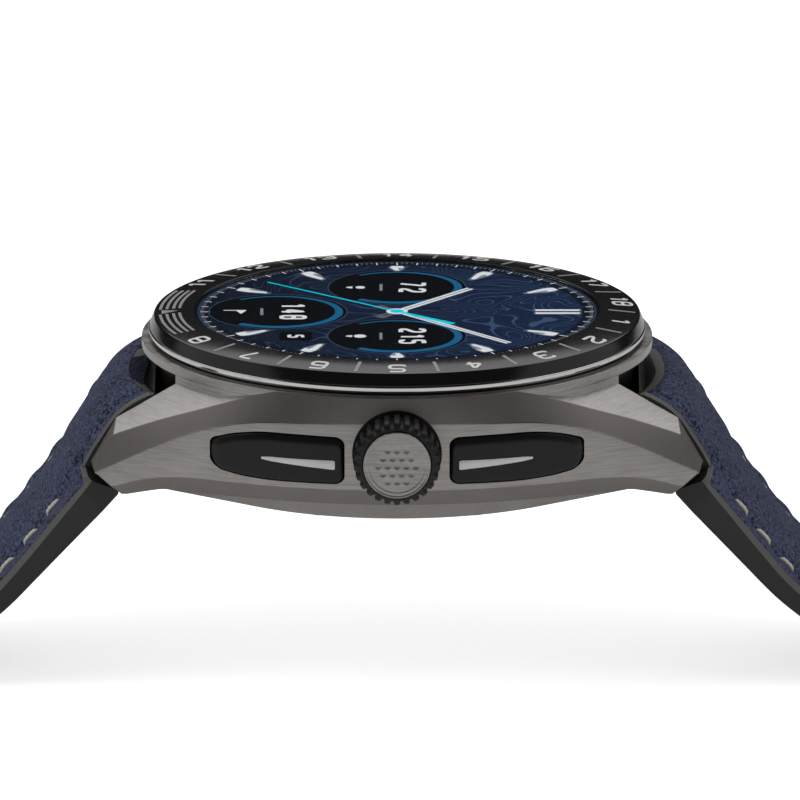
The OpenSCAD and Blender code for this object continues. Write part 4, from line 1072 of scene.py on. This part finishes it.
def make_leather(half):
    """The padded cover: rows along the half, columns across that bunch up at its edges and along
    its stitches, and a flat underside sunk in the rubber."""
    r = TIP_R - strap_sizes().lip - 0.05
    s = half.rows(-8.2, half.leather_end, r)[:, None]
    width, sewn = half.leather_half(s), half.sewn(s)
    near = np.array([0, 0.03, 0.1, 0.22, 0.4, 0.65, 1.0])
    seam = np.array([0.45, 0.28, 0.12, 0, -0.12, -0.26, -0.42, -0.62])
    full = np.minimum(width / (sewn + 1.6), 1.0)
    keys = [full * 0 + width - near * full]
    keys.append((width - 1.0 * full) * 0.5 + (sewn * full + 0.45 * full) * 0.5)
    keys.append(sewn * full + seam * full)
    keys.append((sewn * full - 0.62 * full) * np.linspace(0.9, 0, 10))
    x = np.concatenate(keys, 1)
    x = np.concatenate([x, -x[:, -2::-1]], 1)
    round_off = 0.16 * (1 - np.sqrt(1 - (1 - np.clip((half.leather_end - s) / 0.3, 0, 1)) ** 2))
    round_off = round_off + 0.3 * (1 - ramp(s, -8.2, -7.7))
    if half.round_tip:
        round_off = round_off * 0
    along = half.warp(s, x)
    h = half.top(s, x) - round_off
    face = half.place(x, along, h)
    back = half.place(x, along, half.edge_height(s, x) - 0.65)[:, ::-3]
    piece = Form().grid(np.concatenate([face, back], 1), round_cols=True, caps=True).piece(
        f"strap_{half.name}_cover", f"strap_{half.name}", "strap_leather", "strap_leather",
        [f"strap_{half.name}_leather"], 40)
    return piece


def rubber_ring(half, s, wide, low, sink, shift=0.0):
    """Rows of the rubber's cross-section, as (x, along, height): flat underside with rounded
    edges, upright sides, a sloping lip and a bed for the leather, sunk by sink."""
    s = s[:, None]
    wide, low, sink = (np.reshape(v, (-1, 1)) for v in (wide, low, sink))
    inner = np.minimum(half.leather_half(s), wide - 0.3)
    rim = np.maximum(inner + 0.12, wide - 0.6)
    front = shift * 0.4 * (1 - ramp(s, 0, 0.4))
    outer_h = (half.edge_height(s, inner) - 0.26 if shift == 0 else
               curve(s, [0, 1, 13.8, 20], [2.57, 2.5, 1.62, 1.6]) + 0 * s)
    rim_h = half.edge_height(s, rim) - 0.03 - front
    lip_h = half.edge_height(s, inner) - 0.03 - front
    bed = np.linspace(1, -1, 17)[None, :] * (inner - 0.3)
    floor = np.linspace(-1, 1, 9)[None, :] * (wide - 0.3)
    bed_h = half.top(s, bed) - 0.06 - 0.5 * sink
    zero = s * 0
    deep = lip_h - 0.3 * sink
    x = [wide, wide, rim, inner + 0.08, inner + 0.03, bed, -inner - 0.03, -inner - 0.08, -rim,
         -wide, -wide, floor]
    h = [low + 0.3, outer_h, rim_h, lip_h, deep, bed_h, deep, lip_h, rim_h, outer_h, low + 0.3,
         low + 0 * floor]
    x, h = np.concatenate([v + zero for v in x], 1), np.concatenate([v + zero for v in h], 1)
    return np.stack([x, half.warp(s, x) + shift_at(s, h) * shift, h], -1)


def shift_at(s, h):
    """How far the shoulder's front leans: along the strap with height, fading out behind it."""
    return np.interp(h, [-0.1, 0.32, 2.57], [-0.1, -0.5, 0.42]) * (1 - ramp(s, 0, 1.6))


def make_rubber(half):
    """The base: the end between the lugs, with its round path about the bar, and the length
    past the shoulders, as two pieces."""
    s = np.concatenate([[-8.68, -8.6, -8.24], half.rows(-8.14, 4.0)])
    s = s[s < 3.0]
    low = curve(s, [-8.7, -8.1, -6.8, -4.6, -2.56, -0.49, 0, 3],
                [3.0, 2.9, 1.66, -0.1, -0.6, -0.1, 0.06, 0.06])
    sink = np.where(s < -8.2, 0.0, 1.0)
    ring = rubber_ring(half, s, np.full(len(s), END_HALF), low, sink)
    fall = np.interp(s, [-8.68, -8.6, -8.24, -8.2], [0.6, 0.42, 0.0, 0.0])[:, None]
    ring[:, 1:-10, 2] -= fall
    marks = np.array([0, 1, 1, 1] + [0] * 18 + [1, 1, 1] + [0] * 10)
    s = half.rows(0.0, half.end)
    rows = rubber_ring(half, s, np.maximum(half.half(s), 0.12), s * 0, ramp(s, 0.0, 0.1), 1.0)
    if not half.round_tip:
        # Past the leather the bed rises to the lip, so that a full rubber end shows
        over = ramp(s, half.leather_end - 0.06, half.leather_end + 0.5)[:, None]
        rows[:, 4:23, 2] += (rows[:, 3:4, 2] - rows[:, 4:23, 2]) * over
    pieces = []
    for p, name, stands_for in ((ring, "end", []), (rows, "base", [f"strap_{half.name}_rubber"])):
        form = Form().grid(half.place(p[..., 0], p[..., 1], p[..., 2]), round_cols=True,
                           caps=True, finish=np.resize(marks, p.shape[1]))
        if name == "end":
            # The lip runs on across the end, in front of the leather
            cols = p.shape[1]
            form.finish = [1 if k < 3 * cols and 1 <= k % cols < 24 else mark
                           for k, mark in enumerate(form.finish)]
        pieces.append(form.piece(f"strap_{half.name}_{name}", f"strap_{half.name}",
                                 ["strap_rubber", "lip_rubber"], "strap_rubber", stands_for, 24))
    return pieces[1]


def make_thread(half):
    """Two rows of stitches. Each is a short thread of two strands, so that its radius is
    0.15 (1 + 0.16 cos(2 angle - twist)), laid in the groove and dipping at both ends."""
    t = strap_sizes()
    form = Form()
    middles = np.arange(5.5, half.leather_end - 5.5, t.stitch_pitch)
    u = np.linspace(-1, 1, 12)[:, None]
    a = np.linspace(0, TAU, 10, endpoint=False)[None, :]
    radius = 0.19 * (1 + 0.16 * np.cos(2 * a - u * 14)) * (1 - 0.75 * np.abs(u) ** 6)
    for middle in middles:
        s = middle + u * t.stitch_len / 2
        base = half.top(np.full((1, 1), middle), half.sewn(middle))
        for side in (-1, 1):
            x = side * half.sewn(middle) + radius * np.cos(a)
            h = base + 0.27 - 0.32 * u**4 + radius * np.sin(a)
            form.grid(half.place(x, s + 0 * a, h), round_cols=True, caps=True)
    form.piece(f"strap_{half.name}_thread", f"strap_{half.name}", "thread", "thread",
               [f"strap_{half.name}_stitches"], 60)


def tube_x(y, z, r, reach, steps=32):
    """A rod along X through (y, z), as rows of rings."""
    a = np.linspace(0, TAU, steps, endpoint=False)
    x = np.array([-reach, -reach + 0.02, reach - 0.02, reach])[:, None]
    r = r * np.array([0.97, 1, 1, 0.97])[:, None]
    return np.stack(np.broadcast_arrays(x, y + r * np.cos(a), z + r * np.sin(a)), -1)


def make_straps():
    """Both halves, with the holes for the tongue and the loops round the buckle's bar."""
    buckle_y, buckle_z = BUCKLE
    half_12 = StrapHalf("12", 1, TABLE_Z + 1.05, 43.3, 0.0)
    half_12.leather_end = half_12.end - 4.5
    half_6 = StrapHalf("6", -1, TABLE_Z, 82.0, 0.0)
    half_6.leather_end = half_6.end - strap_sizes().lip - 0.05
    for half in (half_12, half_6):
        cover, piece = make_leather(half), make_rubber(half)
        if half is half_6:
            a = np.linspace(0, TAU, 36, endpoint=False)
            hole = HOLE_R * np.column_stack([np.cos(a), np.sin(a)])
            for target in (cover, piece):
                block = Form()
                for k in range(HOLE_COUNT):
                    y = -(half.end_y - HOLE_FROM_TIP - k * HOLE_PITCH)
                    block.prism(hole + [0, y], TABLE_Z - 1, TABLE_Z + 6)
                cut(target, block)
        else:
            loop = Form().grid(tube_x(buckle_y, buckle_z, 1.9, 9.9, 48), round_cols=True,
                               caps=True)
            loops = loop.piece("strap_12_loops", "strap_12", "strap_rubber", "strap_rubber")
            slot = [(-1.4, buckle_y - 2.6), (1.4, buckle_y - 2.6), (1.4, 110), (-1.4, 110)]
            for target in (piece, loops):
                cut(target, Form().prism(np.array(slot), -30, 0))
        make_thread(half)


BUCKLE = (95.5534, -15.25)
BUCKLE_HALF, BUCKLE_ARM, BUCKLE_REACH = 12.45, 2.1, 10.0
KEEPERS = (("fixed", 81.5534, 0.05, "strap_12"), ("sliding", 67.5534, 0.0, "sliding_keeper"))


def make_keepers():
    """The two rubber loops: a rounded rectangle whose band has rounded edges."""
    for name, y, lift, body in KEEPERS:
        z0 = TABLE_Z + lift
        loops = []
        for grow, r in ((1.0, 2.0), (0.0, 1.1)):
            half, low, high = 10.2 + grow, z0 + 1 - grow, z0 + 7.5 + grow
            corner = np.array([(-half, low), (half, low), (half, high), (-half, high)])
            loops.append(soften(corner, r, 7))
        outer, inner = loops
        band = np.stack([
            np.stack([line[:, 0], np.full(len(line), y + end), line[:, 1]], -1)
            for line, end in ((outer, -2.5), (outer, 2.5), (inner, 2.5), (inner, -2.5))
        ], 1)
        Form().grid(soften(band, 0.32, 4), round_rows=True, round_cols=True).piece(
            f"keeper_{name}_loop", body, "strap_rubber", "strap_rubber", [f"keeper_{name}"], 40)


def make_buckle():
    """The polished frame: one bar of rounded section from an arm's eye round the front to the
    other arm's eye."""
    y, z = BUCKLE
    x = BUCKLE_HALF - BUCKLE_ARM / 2
    front = y + BUCKLE_REACH
    low = TABLE_Z + 1.1
    line = soften([(-x, y - 1.2), (-x, front), (x, front), (x, y - 1.2)],
                  [0.1, 3.4, 3.4, 0.1], 12, closed=False)
    extra = np.linspace(0.08, 0.92, 14)[:, None]
    left = line[0] * (1 - extra) + line[12] * extra
    right = line[-13] * (1 - extra) + line[-1] * extra
    line = np.concatenate([line[:1], left, line[12:-12], right, line[-1:]])
    along = np.gradient(line, axis=0)
    along /= np.linalg.norm(along, axis=1, keepdims=True)
    aside = np.column_stack([along[:, 1], -along[:, 0]])
    share = ramp(line[:, 1], y, front - 1)
    height = z + (low - z) * share
    half_h = 1.3 - 0.2 * share
    half_w = np.full(len(line), BUCKLE_ARM / 2)
    end = np.minimum(np.arange(len(line)), np.arange(len(line))[::-1])
    shrink = np.interp(end, [0, 2], [0.7, 1])
    section = np.array([(-1, -0.55), (-0.6, -1), (0.6, -1), (1, -0.55), (1, 0.45), (0.5, 1),
                        (-0.5, 1), (-1, 0.45)])
    section = soften(section, 0.22, 3)
    u = section[None, :, 0] * (half_w * shrink)[:, None]
    v = section[None, :, 1] * (half_h * shrink)[:, None]
    p = np.stack([line[:, 0:1] + aside[:, 0:1] * u, line[:, 1:2] + aside[:, 1:2] * u,
                  height[:, None] + v], -1)
    Form().grid(p, round_cols=True, caps=True).piece(
        "buckle_hoop", "buckle", "polished_steel", "polished_steel", ["buckle_frame"], 30)


# ---- Stage ----


def make_stage():
    """A pale floor under the watch, a white surround, soft lamps and the camera."""
    low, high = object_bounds()
    half = 3.0
    floor = bpy.data.meshes.new("floor")
    floor.from_pydata([(-half, -half, low.z), (half, -half, low.z), (half, half, low.z),
                       (-half, half, low.z)], [], [(0, 1, 2, 3)])
    floor_piece = bpy.data.objects.new("floor", floor)
    bpy.context.scene.collection.objects.link(floor_piece)
    floor_piece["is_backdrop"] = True
    material = bpy.data.materials.new("pale_floor")
    material.use_nodes = True
    shader = material.node_tree.nodes["Principled BSDF"]
    shader.inputs["Base Color"].default_value = (0.9, 0.9, 0.9, 1)
    shader.inputs["Roughness"].default_value = 0.9
    shader.inputs["Specular IOR Level"].default_value = 0.1
    path = add_node(material, "ShaderNodeLightPath")
    seen = add_node(material, "ShaderNodeMath")
    seen.operation = "MULTIPLY"
    seen.inputs[1].default_value = 0.7
    material.node_tree.links.new(path.outputs["Is Camera Ray"], seen.inputs[0])
    shader.inputs["Emission Color"].default_value = (1, 1, 1, 1)
    material.node_tree.links.new(seen.outputs[0], shader.inputs["Emission Strength"])
    floor.materials.append(material)
    world = bpy.data.worlds.new("surround")
    world.use_nodes = True
    bpy.context.scene.world = world
    tree = world.node_tree
    back = tree.nodes["Background"]
    path = tree.nodes.new("ShaderNodeLightPath")
    shown = tree.nodes.new("ShaderNodeMath")
    shown.operation = "MAXIMUM"
    tree.links.new(path.outputs["Is Camera Ray"], shown.inputs[0])
    shown.inputs[1].default_value = 0.0
    # Shiny pieces see a dark room with a wide soft box behind and above, and a pale floor
    place = tree.nodes.new("ShaderNodeTexCoord")
    apart = tree.nodes.new("ShaderNodeSeparateXYZ")
    tree.links.new(place.outputs["Generated"], apart.inputs["Vector"])
    across = tree.nodes.new("ShaderNodeMath")
    across.operation = "ABSOLUTE"
    tree.links.new(apart.outputs["Y"], across.inputs[0])

    def share(source, start, end, top):
        step = tree.nodes.new("ShaderNodeMapRange")
        step.inputs["From Min"].default_value, step.inputs["From Max"].default_value = start, end
        step.inputs["To Max"].default_value = top
        tree.links.new(source, step.inputs["Value"])
        return step.outputs["Result"]

    def joined(kind, first, second):
        node = tree.nodes.new("ShaderNodeMath")
        node.operation = kind
        tree.links.new(first, node.inputs[0])
        tree.links.new(second, node.inputs[1])
        return node.outputs[0]

    box = joined("ADD", share(apart.outputs["Z"], 0.395, 0.405, 0.8),
                 share(apart.outputs["Z"], 0.5, 0.62, 0.5))
    box = joined("MULTIPLY", box, share(apart.outputs["Z"], 0.9, 0.8, 1.0))
    box = joined("MULTIPLY", box, share(apart.outputs["X"], 0.2, 0.0, 1.0))
    box = joined("MULTIPLY", box, share(across.outputs[0], 0.8, 0.65, 1.0))
    aside = joined("MULTIPLY", share(across.outputs[0], 0.78, 0.84, 0.35),
                   share(apart.outputs["Z"], 0.05, 0.14, 1.0))
    aside = joined("MULTIPLY", aside, share(apart.outputs["Z"], 0.55, 0.45, 1.0))
    box = joined("MAXIMUM", box, aside)
    ground = share(apart.outputs["Z"], 0.0, -0.1, 0.8)
    room = tree.nodes.new("ShaderNodeMath")
    room.operation = "ADD"
    room.inputs[1].default_value = 0.02
    tree.links.new(joined("MAXIMUM", box, ground), room.inputs[0])
    gloss = tree.nodes.new("ShaderNodeMix")
    gloss.inputs["A"].default_value = 0.45
    tree.links.new(joined("MAXIMUM", path.outputs["Is Glossy Ray"],
                          path.outputs["Is Transmission Ray"]), gloss.inputs["Factor"])
    tree.links.new(room.outputs[0], gloss.inputs["B"])
    strength = tree.nodes.new("ShaderNodeMath")
    strength.operation = "MAXIMUM"
    tree.links.new(shown.outputs[0], strength.inputs[0])
    tree.links.new(gloss.outputs["Result"], strength.inputs[1])
    tree.links.new(strength.outputs[0], back.inputs["Strength"])
    back.inputs["Color"].default_value = (1, 1, 1, 1)
    for name, place, size, power in (
        ("key", (0.3, -0.55, 0.55), 0.35, 1.5),
        ("fill", (0.35, 0.6, 0.5), 0.4, 1.1),
        ("back", (-0.62, -0.03, 0.46), 0.26, 0.35),
    ):
        lamp = bpy.data.lights.new(name, "AREA")
        lamp.size, lamp.energy = size, power
        thing = bpy.data.objects.new(name, lamp)
        bpy.context.scene.collection.objects.link(thing)
        thing.location = place
        thing.visible_glossy = False
        thing.rotation_euler = (
            -thing.location).to_track_quat("-Z", "Y").to_euler()
    aim, far, rise = (0.0, 0.26 * MM, 5.41 * MM), 3.0, math.radians(14.6)
    data = bpy.data.cameras.new("camera")
    data.sensor_width, data.lens = 36, 1531
    data.clip_start, data.clip_end = 0.01, 10
    camera = bpy.data.objects.new("camera", data)
    bpy.context.scene.collection.objects.link(camera)
    camera.location = (far * math.cos(rise), aim[1], aim[2] + far * math.sin(rise))
    camera.rotation_euler = (math.pi / 2 - rise, 0, math.pi / 2)
    bpy.context.scene.camera = camera
    bpy.context.scene.view_settings.view_transform = "Standard"


# ---- The add-on ----


class WatchOperator:
    """What the building operators share: each makes its pieces and says that it is done"""

    bl_options = {"REGISTER", "UNDO"}

    def execute(self, context):
        self.make()
        return {"FINISHED"}


class WATCH_OT_finishes(WatchOperator, bpy.types.Operator):
    """Makes the finishes and gives them to the frame's nodes"""

    bl_idname = "watch.finishes"
    bl_label = "Finishes"

    def make(self):
        make_finishes()
        finish_frame_nodes()


class WATCH_OT_case(WatchOperator, bpy.types.Operator):
    """Builds the case's flanks, lugs and ring"""

    bl_idname = "watch.case"
    bl_label = "Case"

    def make(self):
        make_case()


class WATCH_OT_bezel(WatchOperator, bpy.types.Operator):
    """Builds the ceramic bezel, its numbers and the polished ring"""

    bl_idname = "watch.bezel"
    bl_label = "Bezel"

    def make(self):
        make_bezel()


class WATCH_OT_screen(WatchOperator, bpy.types.Operator):
    """Builds the lit screen's dials, figures and hands"""

    bl_idname = "watch.screen"
    bl_label = "Screen"

    def make(self):
        make_screen()


class WATCH_OT_crown(WatchOperator, bpy.types.Operator):
    """Builds the crown's grip and cap"""

    bl_idname = "watch.crown"
    bl_label = "Crown"

    def make(self):
        make_crown()


class WATCH_OT_pushers(WatchOperator, bpy.types.Operator):
    """Builds the two pushers"""

    bl_idname = "watch.pushers"
    bl_label = "Pushers"

    def make(self):
        make_pushers()


class WATCH_OT_straps(WatchOperator, bpy.types.Operator):
    """Builds both halves of the strap with their stitches"""

    bl_idname = "watch.straps"
    bl_label = "Straps"

    def make(self):
        make_straps()


class WATCH_OT_buckle(WatchOperator, bpy.types.Operator):
    """Builds the keepers and the buckle's frame"""

    bl_idname = "watch.buckle"
    bl_label = "Buckle and keepers"

    def make(self):
        make_keepers()
        make_buckle()


class WATCH_OT_stage(WatchOperator, bpy.types.Operator):
    """Sets up the floor, the lamps and the camera"""

    bl_idname = "watch.stage"
    bl_label = "Stage"

    def make(self):
        make_stage()


OPERATORS = [WATCH_OT_finishes, WATCH_OT_case, WATCH_OT_bezel, WATCH_OT_screen,
             WATCH_OT_crown, WATCH_OT_pushers, WATCH_OT_straps, WATCH_OT_buckle, WATCH_OT_stage]
GROUPS = {"watch_case": WatchCaseSizes, "watch_strap": WatchStrapSizes,
          "watch_colours": WatchColours}


class WATCH_PT_panel(bpy.types.Panel):
    """Lists the watch's operators and sizes"""

    bl_label = "Golf watch"
    bl_idname = "WATCH_PT_panel"
    bl_space_type = "VIEW_3D"
    bl_region_type = "UI"
    bl_category = "Golf watch"

    def draw(self, context):
        for operator in OPERATORS:
            self.layout.operator(operator.bl_idname)
        for name, group in GROUPS.items():
            box = self.layout.box()
            for key in group.__annotations__:
                box.prop(getattr(context.scene, name), key)


CLASSES = [*GROUPS.values(), *OPERATORS, WATCH_PT_panel]


def register():
    for cls in CLASSES:
        bpy.utils.register_class(cls)
    for name, group in GROUPS.items():
        setattr(bpy.types.Scene, name, PointerProperty(type=group))


def unregister():
    for name in GROUPS:
        delattr(bpy.types.Scene, name)
    for cls in reversed(CLASSES):
        bpy.utils.unregister_class(cls)


def main():
    register()
    for operator in OPERATORS:
        getattr(bpy.ops.watch, operator.bl_idname.split(".")[1])()
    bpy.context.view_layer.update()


if __name__ == "__main__":
    main()
